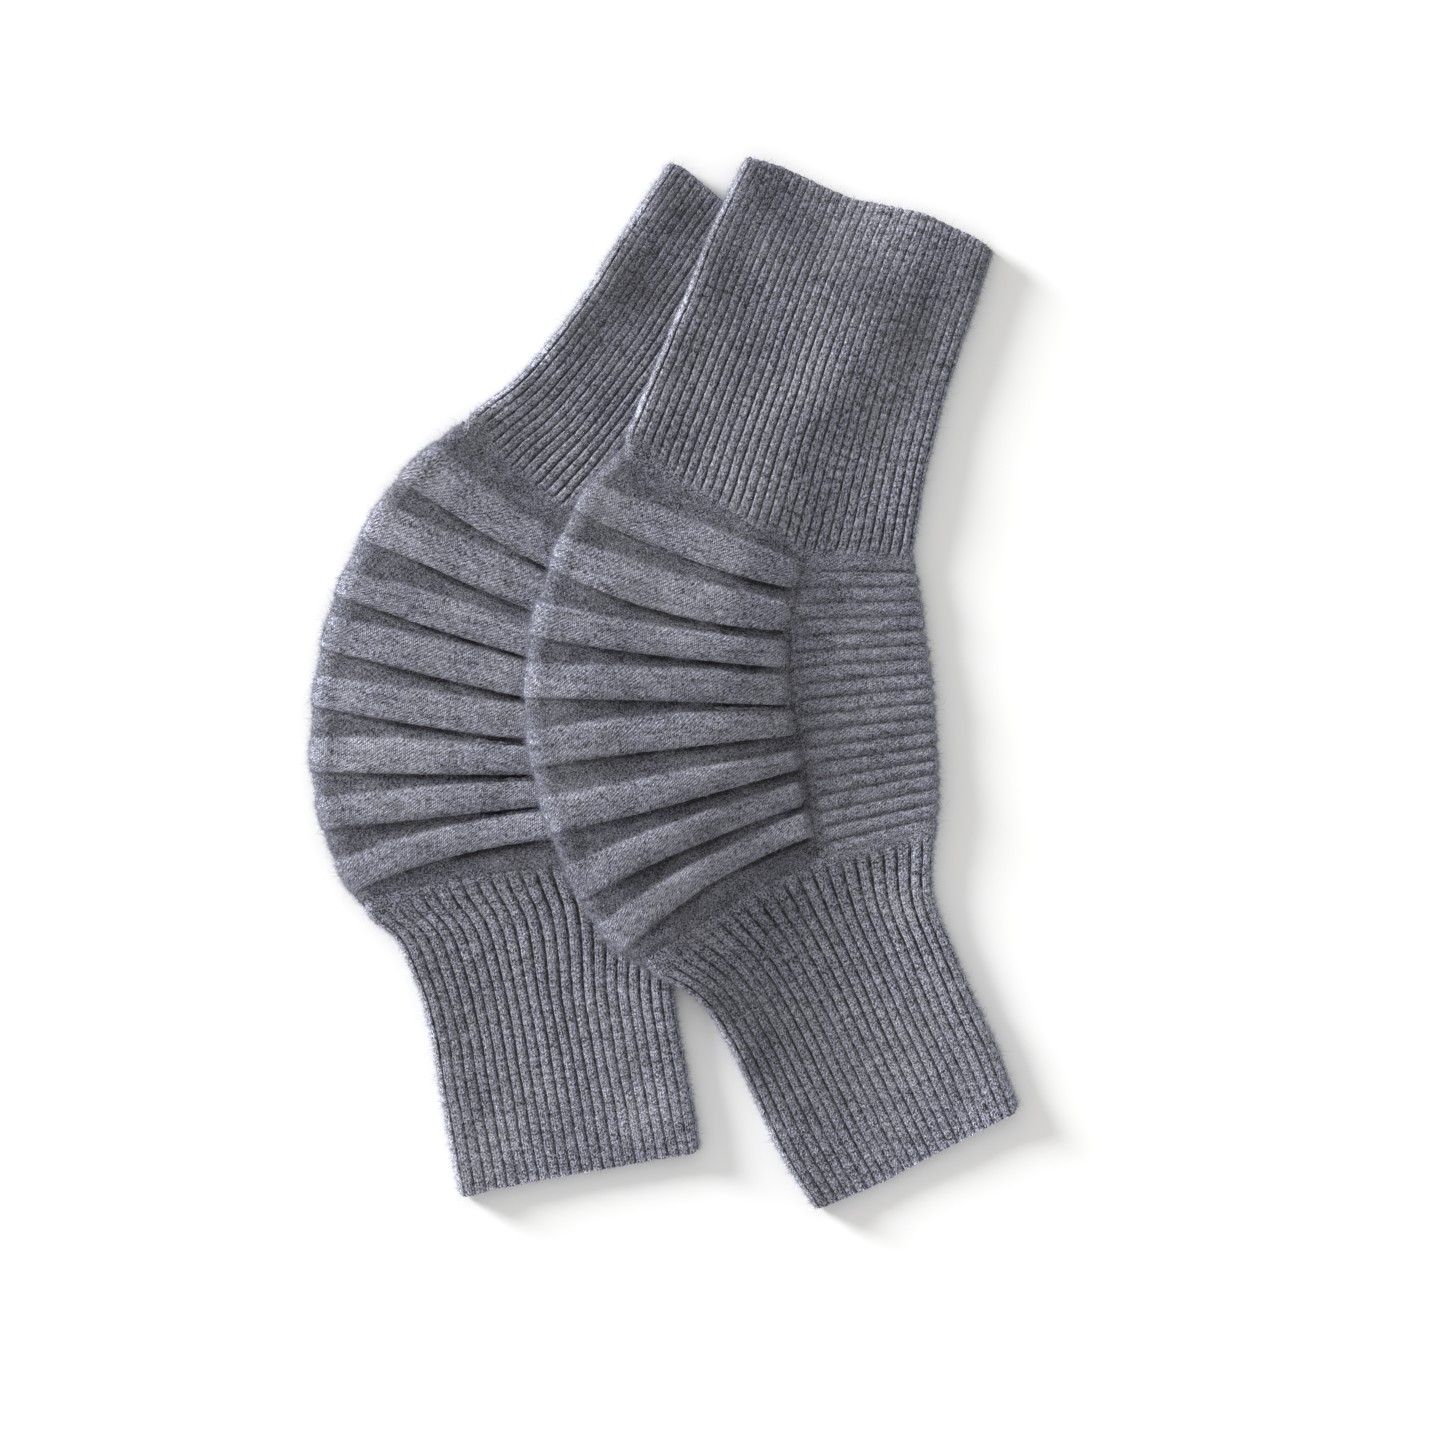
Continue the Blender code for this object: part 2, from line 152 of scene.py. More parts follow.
# %% The under warmer
UNDER = Warmer(
    name="under",
    reach_fade=7,
    thigh=[
        Section(2.0, 220.5, 86.5, 147.5),
        Section(-18.3, 189.5, 69.5, 124.0),
        Section(-36.8, 160.5, 53.0, 97.5),
        Section(-49.8, 143.5, 44.5, 84.0),
        Section(-62.4, 129.5, 36.5, 69.5),
        Section(-88.0, 109.5, 25.5, 39.5),
    ],
    rib_end=Line(109.5, 50.5, 1.5),
    welts=[
        Welt(103.0, 87.5, 47.5, 35.5, -3.9, -3.4),
        Welt(77.5, 61.5, 32.0, 18.0, 2.0, 0.0),
        Welt(48.5, 37.5, 14.5, 3.0, 2.5, -0.8),
        Welt(29.5, 15.5, 2.0, -10.5, 1.5, -1.5),
        Welt(5.0, -9.0, -12.2, -25.0, 0.0, -2.0),
        Welt(-22.0, -37.0, -27.0, -38.0, 1.5, -0.5),
        Welt(-47.5, -61.5, -39.2, -49.5, 1.5, 0.0),
        Welt(-74.0, -88.0, -50.8, -64.3, 3.8, 4.6),
    ],
    calf_start=Line(-91.5, -74.3, 2.5),
    calf=[
        Section(-129.5, -91.5, 9.0, -76.5),
        Section(-124.2, -98.2, 8.6, -83.0),
        Section(-114.8, -105.4, 8.0, -91.0),
        Section(-105.8, -123.5, 6.0, -107.0),
        Section(-99.2, -145.5, 3.5, -124.5),
        Section(-95.4, -168.5, 6.5, -147.5),
        Section(-91.2, -192.0, 11.0, -171.0),
        Section(-87.0, -214.5, 15.0, -195.0),
    ],
    front_fold=[
        (-88.0, 109.5), (-103.5, 98.0), (-116.8, 83.0), (-126.6, 66.0), (-136.2, 46.0),
        (-143.4, 23.0), (-148.4, -5.0), (-149.8, -25.0), (-147.2, -48.0), (-141.5, -70.0),
        (-133.5, -86.5), (-129.5, -91.5),
    ],
    side_seam=[(-14.5, 50.5), (-24.0, 27.0), (-32.0, -6.0), (-38.0, -40.0), (-38.0, -74.3)],
    back_fold=[(25.5, 39.5), (26.0, 27.0), (24.0, 7.5), (18.5, -30.0), (13.5, -55.0), (9.0, -76.5)],
    thigh_wave=[(0.0, 0.0), (0.06, 1.5), (0.2, 1.9), (1.0, 1.0)],
    calf_wave=[(0.0, -2.4), (0.03, -0.8), (0.15, -1.8), (0.5, -1.2), (0.96, -0.4), (1.0, -2.2)],
)
print(UNDER.name, "warmer:", len(UNDER.welts), "welts")

# %% The over warmer
OVER = Warmer(
    name="over",
    reach_fade=9,
    thigh=[
        Section(33.5, 221.5, 138.5, 182.5),
        Section(19.0, 190.5, 127.5, 150.5),
        Section(6.5, 160.0, 117.5, 119.0),
        Section(-6.5, 128.5, 109.5, 86.5),
        Section(-20.0, 98.0, 104.0, 53.5),
    ],
    rib_end=Line(98.0, 54.5, 1.5),
    welts=[
        Welt(86.0, 74.0, 51.5, 40.0, 0.0, -4.2),
        Welt(64.0, 49.0, 36.0, 22.5, -3.4, -6.3),
        Welt(35.5, 20.0, 19.0, 7.0, -2.5, -1.7),
        Welt(9.0, -5.5, 4.5, -8.8, 0.8, 0.0),
        Welt(-19.5, -35.0, -10.5, -21.5, 2.9, 0.8),
        Welt(-47.0, -63.0, -26.5, -35.0, 0.0, -1.0),
        Welt(-76.5, -91.5, -39.5, -50.0, 2.5, 3.0),
        Welt(-102.0, -114.5, -51.7, -64.0, 4.6, 7.0),
    ],
    calf_start=Line(-119.0, -74.3, 4.6),
    calf=[
        Section(-10.5, -119.0, 113.5, -61.5),
        Section(14.0, -133.0, 112.5, -86.0),
        Section(27.5, -153.5, 120.0, -108.0),
        Section(38.5, -176.5, 129.5, -130.5),
        Section(49.0, -198.5, 140.0, -152.5),
        Section(61.0, -219.0, 149.0, -177.0),
    ],
    front_fold=[
        (-20.0, 98.0), (-32.0, 85.0), (-44.0, 64.0), (-52.0, 41.0), (-58.0, 12.0), (-59.2, -12.0),
        (-56.0, -35.0), (-49.0, -60.0), (-38.5, -87.0), (-27.5, -105.5), (-17.5, -116.0),
        (-10.5, -119.0),
    ],
    side_seam=[
        (58.5, 54.5), (56.0, 42.0), (53.0, 27.0), (52.3, 12.0), (53.3, -6.0), (56.0, -20.0),
        (59.0, -37.0), (61.5, -52.0), (63.5, -65.0), (64.5, -74.3),
    ],
    back_fold=[
        (104.0, 53.5), (106.2, 44.0), (109.5, 23.0), (112.9, -2.0), (114.8, -31.5), (114.6, -54.5),
        (113.5, -61.5),
    ],
    thigh_wave=[
        (0.0, 0.4), (0.15, 2.2), (0.25, 1.4), (0.36, 0.2), (0.44, 0.4), (0.7, 4.6), (0.9, 3.0),
        (1.0, 0.0),
    ],
    calf_wave=[
        (0.0, -1.0), (0.03, 1.0), (0.15, 1.6), (0.35, 2.0), (0.6, 1.2), (0.8, 0.2), (0.96, 0.0),
        (1.0, -1.8),
    ],
)
print(OVER.name, "warmer:", len(OVER.welts), "welts")

# %% [markdown]
# ## How a flat tube is drawn
#
# A tube that lies flat is two layers joined by two rounded folds. Each knitted row is a line
# across it, and each point of the row has a place along that line and a tilt: straight up on
# the top layer, outwards at a fold and straight down underneath. Drawing every row that way,
# and joining row to row, gives a panel with an even grid, on which ribs, welts and stitches
# can follow the knitting as they do on the real thing. A cuff meets the knee at a slant, so
# its straight rows bend more and more towards that joint, while its ribs run straight on.

# %% Curves


def smoothstep(value):
    value = np.clip(value, 0.0, 1.0)
    return value * value * (3.0 - 2.0 * value)


def on_curve(points, where):
    """The smooth curve through the points, at fractions of its length."""
    points = np.asarray(points, float)
    steps = np.linalg.norm(np.diff(points[:, :2], axis=0), axis=1)
    knots = np.concatenate([[0.0], np.cumsum(steps)]) / steps.sum()
    slopes = np.gradient(points, knots, axis=0)
    where = np.atleast_1d(where)
    span = np.clip(np.searchsorted(knots, where, side="right") - 1, 0, len(knots) - 2)
    width = knots[span + 1] - knots[span]
    part = ((where - knots[span]) / width)[:, None]
    width = width[:, None]
    return (
        (2 * part**3 - 3 * part**2 + 1) * points[span]
        + (part**3 - 2 * part**2 + part) * width * slopes[span]
        + (3 * part**2 - 2 * part**3) * points[span + 1]
        + (part**3 - part**2) * width * slopes[span + 1]
    )


def at_height(points, y):
    """The point of a curve that runs down the page, at the height y."""
    dense = on_curve(points, np.linspace(0.0, 1.0, 200))
    return np.array([np.interp(-y, -dense[:, 1], dense[:, 0]), y])


def bowed(start, end, bow, where):
    """Points from start to end on an arc whose middle lies bow above the straight line."""
    where = np.asarray(where)[:, None]
    points = start + (end - start) * where
    points[:, 1] += 4.0 * bow * (where * (1.0 - where))[:, 0]
    return points


print("the over front fold starts at", on_curve(OVER.front_fold, 0.0)[0])

# %% Rows in plan


def front_line(warmer, line, where):
    """A row of the knee front from the front fold to the side seam."""
    fold = at_height(warmer.front_fold, line.fold)
    seam = at_height(warmer.side_seam, line.seam)
    return bowed(fold, seam, line.bow, where)


def back_line(warmer, share, where):
    """A row of the knee back from the side seam to the back fold, share of the way down."""
    seam_y = warmer.rib_end.seam + (warmer.calf_start.seam - warmer.rib_end.seam) * share
    back_y = warmer.back_fold[0][1] + (warmer.back_fold[-1][1] - warmer.back_fold[0][1]) * share
    seam = at_height(warmer.side_seam, seam_y)
    return bowed(seam, at_height(warmer.back_fold, back_y), 0.0, where)


def straight_row(sections, share, where):
    """A straight row across a cuff; share is 0 at the mouth and 1 at the knee."""
    front = on_curve([(row.front_x, row.front_y) for row in sections], share)[0]
    back = on_curve([(row.back_x, row.back_y) for row in sections], share)[0]
    return bowed(front, back, 0.0, where)


def rib_headings(sections, where):
    """Which way the ribs run where a cuff ends at the knee."""
    headings = straight_row(sections, 1.0, where) - straight_row(sections, 0.9, where)
    return headings / np.linalg.norm(headings, axis=1, keepdims=True)


def way_to_knee(warmer, sections, line):
    """How far each rib still has to run, past a straight end of its cuff, to meet the knee."""
    where = np.linspace(0.0, 1.0, 121)
    ends, headings = straight_row(sections, 1.0, where), rib_headings(sections, where)
    seam = at_height(warmer.side_seam, line.seam)
    joint = [front_line(warmer, line, where), bowed(seam, ends[-1], 0.0, where)]
    offset = np.concatenate(joint)[None] - ends[:, None]
    aside = offset[..., 0] * headings[:, None, 1] - offset[..., 1] * headings[:, None, 0]
    ahead = (offset * headings[:, None]).sum(axis=2)
    order = np.argsort(aside, axis=1)
    aside, ahead = (np.take_along_axis(values, order, axis=1) for values in (aside, ahead))
    return where, [np.interp(0.0, *pair) for pair in zip(aside, ahead)]


def cuff_line(sections, way, share, where):
    """A row of a cuff from front fold to back fold, bent ever more like the end of the knee."""
    where = np.asarray(where, float)
    further = np.interp(where, *way) * share**3
    return straight_row(sections, share, where) + rib_headings(sections, where) * further[:, None]


over_way = way_to_knee(OVER, OVER.thigh, OVER.rib_end)[1]
print("the ribs of a thigh cuff run on by up to", round(max(over_way), 1), "mm")

# %% Rows round the tube
Columns = namedtuple("Columns", "place tilt side")
# place: share of the way across the row; tilt: 90 on the top layer, 0 out at a fold and -90
# underneath; side: -1 on the front fold, 1 on the back fold and 0 between them
LOW_AT_FOLD, FOLD_EASE = 0.36, 28.0  # a welt's height at the fold, and how far in it is full
SEEN_RISE_FOLD, SWELL_AT_FOLD, SOFT_FOLD = 0.7, 1.1, 0.9  # how round the knee's front fold is
PUFF, PUFF_REACH = 2.0, 10.0  # a cuff stands up a little beside its folds
INSET_REACH = 15.0
NEAR_END = 0.02


def knit_row(line, columns, distance, rise=0.0, blunt=0.0, undercut=None):
    """The outer points of one row. line(where) gives the row in plan, distance is how far inside
    the knee it lies, rise its share of a welt's height and blunt how much sooner the welt ends.
    undercut(where) is how far the row is drawn back under the welt where that stands up."""
    knee = smoothstep((distance + JOIN_IN_CUFF) / (JOIN_IN_CUFF + JOIN_IN_KNEE))
    half = WALL + (CUFF_GAP + (KNEE_GAP - CUFF_GAP) * knee) / 2
    lift = WELT_RISE_UNDER * knee
    ends = line([0.0, NEAR_END, 1.0 - NEAR_END, 1.0])
    length = np.linalg.norm(ends[3] - ends[0])
    inward_front = (ends[1] - ends[0]) / np.linalg.norm(ends[1] - ends[0])
    inward_back = (ends[2] - ends[3]) / np.linalg.norm(ends[2] - ends[3])
    place, tilt, side = columns.place, np.radians(columns.tilt), columns.side
    has_front, has_back = (side < 0).any(), (side > 0).any()
    flat = 1.0 + SOFT_FOLD * knee
    first = (WALL + CUFF_GAP / 2) / length if has_front else 0.0
    last = 1.0 - (half / length if has_back else 0.0)
    inset = (half * flat + WELT_RISE_FOLD * knee) / length - first if has_front else 0.0
    fades = np.exp(-place * length / INSET_REACH)
    centres = line(first + (last - first) * place + inset * fades)
    outward = np.where(
        (side < 0)[:, None],
        -inward_front,
        np.where((side > 0)[:, None], -inward_back, np.zeros(2)),
    )
    normals = np.column_stack([outward * np.cos(tilt)[:, None], np.sin(tilt)])
    middle = np.column_stack([centres, np.full(len(centres), lift + half)])
    to_fold = np.minimum(place if has_front else 1.0, 1.0 - place) * length
    puff = PUFF * (1.0 - knee) * np.exp(-((to_fold / PUFF_REACH) ** 2)) * (1.0 + np.sin(tilt)) / 2
    if has_back:
        middle[:, 2] += puff
        return middle + normals * half
    fade = smoothstep(((1.0 - place) * length - blunt) / WELT_END)
    from_fold = LOW_AT_FOLD + (1.0 - LOW_AT_FOLD) * smoothstep(place * length / FOLD_EASE)
    if undercut is not None:
        stands = smoothstep(2.0 * fade * from_fold - 1.0)
        middle[:, :2] += undercut(place) * (stands * (side == 0))[:, None]
    turn_rise = np.interp(np.sin(tilt), [-1, 0, 1], [lift, SEEN_RISE_FOLD, WELT_RISE * LOW_AT_FOLD])
    flat_rise = np.where(tilt > 0, WELT_RISE * from_fold, lift)
    most = np.where(side == 0, flat_rise, turn_rise)
    swell = SWELL_AT_FOLD * knee * np.cos(tilt)
    middle[:, :2] += normals[:, :2] * half * (flat - 1.0)
    return middle + normals * (half + swell + rise * most * fade)[:, None]


def out_of(grid):
    """Unit normals of a panel's grid of points, out of the tube."""
    normals = np.cross(np.gradient(grid, axis=0), np.gradient(grid, axis=1))
    return normals / np.maximum(np.linalg.norm(normals, axis=2, keepdims=True), 1e-9)


print("a cuff lies", round(2 * WALL + CUFF_GAP, 1), "mm thick")

# %% [markdown]
# ## Hand-made unevenness
#
# Nobody lays out knitting with a ruler: ribs wander, and the cloth has soft hills where it
# was handled. Both come from a few long waves added together, with their directions and
# starts drawn from a seeded generator, so that the pair is the same on every run. The waves
# depend only on the place on the table, so two panels that meet at a seam move together.
# Short waves and a little chance at every point give the surface its small roughness.

# %% Waves for wandering rows and soft hills


def waves(seed, lengths):
    """A smooth field over the table, from about -1 to 1, made of waves of these lengths in mm."""
    draw = np.random.default_rng(seed)
    turns = draw.uniform(0.0, 2 * np.pi, (len(lengths), 2))

    def field(points):
        total = np.zeros(points.shape[:-1])
        for length, (heading, start) in zip(lengths, turns):
            along = points[..., 0] * np.cos(heading) + points[..., 1] * np.sin(heading)
            total += np.sin(2 * np.pi * along / length + start)
        return total / np.sqrt(len(lengths))

    return field


wander_x = waves(11, [27.0, 41.0, 58.0, 86.0])
wander_y = waves(12, [23.0, 36.0, 52.0, 91.0])
hills = waves(13, [31.0, 44.0, 58.0, 83.0])
ruffle = waves(14, [4.7, 6.3, 8.9, 12.5])
ruffle_x = waves(15, [6.1, 8.3, 13.0])
ruffle_y = waves(16, [5.3, 7.7, 11.5])
closeness = waves(18, [17.0, 27.0, 43.0])
WANDER, HILL = 0.18, 0.35  # how far rows go astray, and how high the hills are
RUFFLE, RUFFLE_ASTRAY, ROUGH = 0.13, 0.08, 0.05
rough = np.random.default_rng(17)


def hand_laid(grid):
    """The panel with its rows a little astray and soft hills in its top layer."""
    top = smoothstep(out_of(grid)[..., 2])
    moved = grid.copy()
    moved[..., 0] += WANDER * wander_x(grid) + RUFFLE_ASTRAY * ruffle_x(grid)
    moved[..., 1] += WANDER * wander_y(grid) + RUFFLE_ASTRAY * ruffle_y(grid)
    moved[..., 2] += top * (HILL * hills(grid) + RUFFLE * ruffle(grid))
    moved += out_of(grid) * ROUGH * rough.standard_normal(grid.shape[:2])[..., None]
    return moved


print("waves ready")

# %% [markdown]
# ## Marks of handling, and painted light and shade
#
# Brushed wool keeps the marks of hands: some ribs are matted together until they hardly
# show, and some welts have been pressed flat. The colour is also made lighter and darker in
# spots, as painted light and shade: lighter on lit folds and on slopes that face the light,
# darker on slopes that face away and where the cloth lies in shade. Painting that on would
# need an image, so each mark is a round place that fades out: the places are listed here,
# and every point of a panel adds up what the ones near it say.

# %% Places of painted light and shade, of matted ribs and of pressed welts
# Spots of painted light and shade. The rows are x, y and radius in millimetres, and how much
PAINTED_LIGHT_AND_SHADE = {  # lighter, or darker below 0
    "under": [
        (-8, 166, 17, -0.29), (9, 199, 13, -0.28), (-28, 140, 14, -0.10), (-67, 106, 18, -0.15),
        (-96, 74, 16, -0.12), (-50, -55, 14, 0.11), (-66, -204, 22, 0.12), (-68, 117, 9, 0.25),
        (-103, -86, 18, 0.13), (-146, 8, 12, 0.10), (-138, 38, 12, 0.12), (-122, 68, 12, 0.14),
        (-148, -32, 12, 0.08), (-12, 198, 8, 0.25), (-32, 170, 8, 0.24), (-50, 140, 9, 0.27),
        (-72, 122, 8, 0.16), (-135, -10, 34, 0.06), (-44, -155, 42, 0.06), (-60, 30, 18, 0.05),
        (-47, -64, 11, 0.12), (-37, -76, 12, 0.11), (-106, -67, 11, -0.11), (-48, 76, 9, 0.05),
        (-128, 56, 8, 0.11), (-116, 34, 14, -0.05), (-68, 36, 11, -0.08), (-47, 14, 11, 0.08),
        (-107, -41, 12, 0.07), (-88, -25, 12, 0.06), (-92, -150, 12, 0.09), (-88, -184, 12, 0.11),
        (-14, -180, 18, 0.09), (-27, -126, 12, 0.06),
    ],
    "over": [
        (24, 168, 18, -0.14), (91, 198, 16, 0.14), (112, 162, 18, -0.20), (106, 140, 14, -0.10),
        (50, 202, 12, -0.13), (132, 178, 12, -0.17), (34, 136, 14, -0.11), (56, 176, 12, -0.08),
        (12, 108, 12, -0.09), (62, -18, 22, -0.12), (47, -95, 24, -0.16), (46, -142, 24, -0.17),
        (-7, -84, 13, -0.24), (10, -48, 14, -0.13), (10, -1, 14, -0.14), (91, 57, 11, -0.16),
        (56, -45, 10, -0.13), (73, -104, 12, -0.10), (72, -165, 18, -0.07), (134, -184, 14, 0.10),
        (-56, 0, 10, 0.08), (-50, 38, 10, 0.08), (28, 204, 8, 0.16), (13, 172, 7, 0.14),
        (8, 157, 7, 0.14), (1, 142, 7, 0.10), (-10, 116, 7, 0.14), (94, 136, 12, 0.08),
        (74, 96, 12, 0.08), (86, 130, 28, 0.06), (95, 178, 12, 0.07), (68, 80, 18, 0.06),
        (109, -62, 18, 0.13), (112, 0, 12, 0.07), (104, -122, 28, 0.07), (118, -184, 24, 0.11),
        (-38, 60, 16, 0.04), (34, -88, 12, 0.15), (35, -106, 11, 0.08), (12, -66, 12, -0.12),
        (66, -43, 15, -0.06), (94, -44, 11, -0.09), (104, -104, 18, 0.06), (30, -146, 9, 0.18),
        (50, -187, 9, 0.17), (88, -206, 12, 0.12), (114, -156, 16, 0.07), (54, 58, 10, 0.05),
        (-26, 66, 14, -0.13), (13, 157, 10, 0.12), (-6, 116, 9, 0.08), (-28, -86, 9, 0.10),
    ],
}
MATTED = {  # ribs matted together, at most 1
    "under": [(-8, 190, 13, 0.7), (-14, 166, 17, 1.0), (-27, 146, 15, 0.8), (-62, 112, 11, 0.4)],
    "over": [
        (40, 190, 18, 0.5), (36, 160, 15, 0.5), (122, 160, 20, 0.7), (112, 120, 16, 0.5),
        (84, 172, 18, 0.3), (33, -133, 13, 0.6), (80, -150, 16, 0.3),
    ],
}
PRESSED = {  # welts pressed flat, at most 1
    "under": [(-96, 66, 12, 0.25), (-60, 56, 10, 0.2)],
    "over": [
        (-22, 68, 15, 0.7), (2, 58, 15, 0.72), (22, 50, 9, 0.45), (-8, 28, 10, 0.2),
        (-30, -56, 10, 0.2),
    ],
}


def marked(grid, spots, start=0.0):
    """The start value at every point, plus what each spot adds near its place."""
    total = np.full(grid.shape[:2], start)
    for x, y, radius, amount in spots:
        away = np.linalg.norm(grid[..., :2] - (x, y), axis=2)
        total += amount * np.exp(-((away / radius) ** 2))
    return total


print("marked places:", sum(len(spots) for spots in PAINTED_LIGHT_AND_SHADE.values()))

# %% [markdown]
# ## The ribbed cuffs
#
# A rib is a column of knit stitches that stands up between two sunken purl columns. On the
# real cuffs the broad ribs almost touch, and what shows between them is a narrow dark
# groove. There are 62 ribs round a thigh cuff and 47 round a calf cuff. Each gets seven grid
# columns, close together at its groove and far apart on its back, so that the groove is
# real relief. A bump map would be less work, but it leaves the folds and the mouths smooth.
# The ribs run on to the knee, fade into plain knitting there, earlier near the front fold,
# and at the mouth each ends in a small round bump.

# %% Grid columns for ribs and for knees
RIB_STEPS = np.array([0.0, 0.06, 0.15, 0.32, 0.68, 0.85, 0.94])
TURN = np.pi * (WALL + CUFF_GAP / 2)
SEAM_TUCK = 0.012  # share of its width by which the knee front goes on under the knee back
Cuff = namedtuple("Cuff", "ribs depth begin lip reach")
# ribs: how many go round; depth: of their grooves; begin: the length over which they begin
# at the knee; lip: how far the mouth's edge turns in; reach: past its last section
THIGH_CUFF = Cuff(ribs=62, depth=1.05, begin=4.2, lip=0.9, reach=0.0)
CALF_CUFF = Cuff(ribs=47, depth=1.02, begin=7.0, lip=0.4, reach=2.0)


def rib_columns(ribs, width):
    """Columns round a whole cuff of this flat width, and the rib number of each."""
    straight = width - 2 * (WALL + CUFF_GAP / 2)
    corners = np.cumsum([0.0, straight, TURN, straight, TURN])
    number = np.append((np.arange(ribs)[:, None] + RIB_STEPS).ravel(), ribs)
    marks = number / ribs * corners[-1]
    place = np.interp(marks, corners, [0.0, 1.0, 1.0, 0.0, 0.0])
    tilt = np.interp(marks, corners, [90.0, 90.0, -90.0, -90.0, 90.0])
    side = np.where((marks > corners[1]) & (marks < corners[2]), 1.0, 0.0)
    side[(marks > corners[3]) & (marks < corners[4])] = -1.0
    return Columns(place, tilt, side), number


def half_columns(top, turn, under, fold):
    """Columns of a knee panel: the front wraps the front fold, the back wraps the back fold."""
    even = np.linspace(0.0, 1.0, top)
    closer_at_seam = even * (0.7 + 0.3 * even)
    place = [closer_at_seam, np.ones(turn), np.linspace(1.0, 0.0, under)]
    tilt = [np.full(top, 90.0), np.linspace(90.0, -90.0, turn + 2)[1:-1], np.full(under, -90.0)]
    side = [np.zeros(top), np.ones(turn), np.zeros(under)]
    place, tilt, side = (np.concatenate(values) for values in (place, tilt, side))
    if fold == "front":
        place, tilt, side = 1.0 - place[::-1], tilt[::-1], -side[::-1]
        past_seam = 1.0 + SEAM_TUCK
        place = np.concatenate([[past_seam], place, [past_seam]])
        return Columns(place, np.pad(tilt, 1, "edge"), np.pad(side, 1, "edge"))
    return Columns(place, tilt, side)


print("columns round a thigh cuff:", THIGH_CUFF.ribs * len(RIB_STEPS))

# %% Panels as grids of points
Panel = namedtuple("Panel", "grid stitches hollow plain rim")
# grid: outer points, row by row down the page, in millimetres
# stitches: for each point, its stitch column and its stitch row
# hollow: how much shade is painted, 1 at the bottom of a groove, 0 on a crest; plain: 1 where the
# purl side shows
# rim: 1 on a fold or an open edge, 0 in the middle of a layer
COURSE, WALE = 1.25, 1.7  # the height of a stitch and its width
SEAM_SINK, SEAM_REACH = 0.8, 3.4
# Two rows past each end of a panel go in under its neighbour
TUCK_LEVEL, TUCK_UNDER = 0.4, 1.8
END_ON_TOP, END_BELOW = np.array([0.0, 0.02, 0.45]), np.array([0.08, 0.2, 0.8])


def on_folds(columns):
    return np.abs(columns.side) * np.cos(np.radians(columns.tilt))


def sink_towards(grid, depth):
    """The grid moved into the cloth by depth, which is one number for each point."""
    return grid - out_of(grid) * depth[..., None]


def tuck_ends(depth, first=True, last=True):
    """Deepens the rows at the ends of a panel, which go in under its neighbours."""
    if first:
        depth[:3] += END_BELOW[::-1, None]
    if last:
        depth[-3:] += END_ON_TOP[:, None]


print("a stitch is", WALE, "by", COURSE, "mm")

# %% Ribbed cuff panel
LIP_ROWS = [0.0, 0.004, 0.010, 0.018, 0.030]  # shares of the length, close together at the mouth
FIRST_ROW, MORE_ROWS = 0.045, 52
GROOVE_CUT, GROOVE_WIDTH, RIB_ROUND = 0.66, 0.10, 0.34
UNEVEN, LEAST_DEEP, MOST_DEEP = 0.22, 0.6, 1.5
LATE_AT_FOLD, LATE_REACH = 8.0, 0.13  # near the front fold the ribs begin later
FLAT_AT_MOUTH, DEEP_FROM = 0.5, 60.0  # grooves are this flat at the mouth, and full from here on
MATTING = 0.65
PAST_JOINT, WAVE_DIES = 0.3, 6  # ribs begin past the joint, and a mouth's wave dies soon
LIP_WIDTH, RIM_WIDTH = 0.9, 1.2
SCALLOP, SCALLOP_MIDDLE, SCALLOP_REACH = 0.25, 0.6, 1.6


def rib_crest(number):
    """How high each column stands, from 0 in a groove to 1 on a rib's back."""
    off = np.abs((number + 0.5) % 1.0 - 0.5)
    groove = GROOVE_CUT * np.exp(-((off / GROOVE_WIDTH) ** 2))
    return 1.0 - groove - RIB_ROUND * (1.0 - 2.0 * off) ** 2


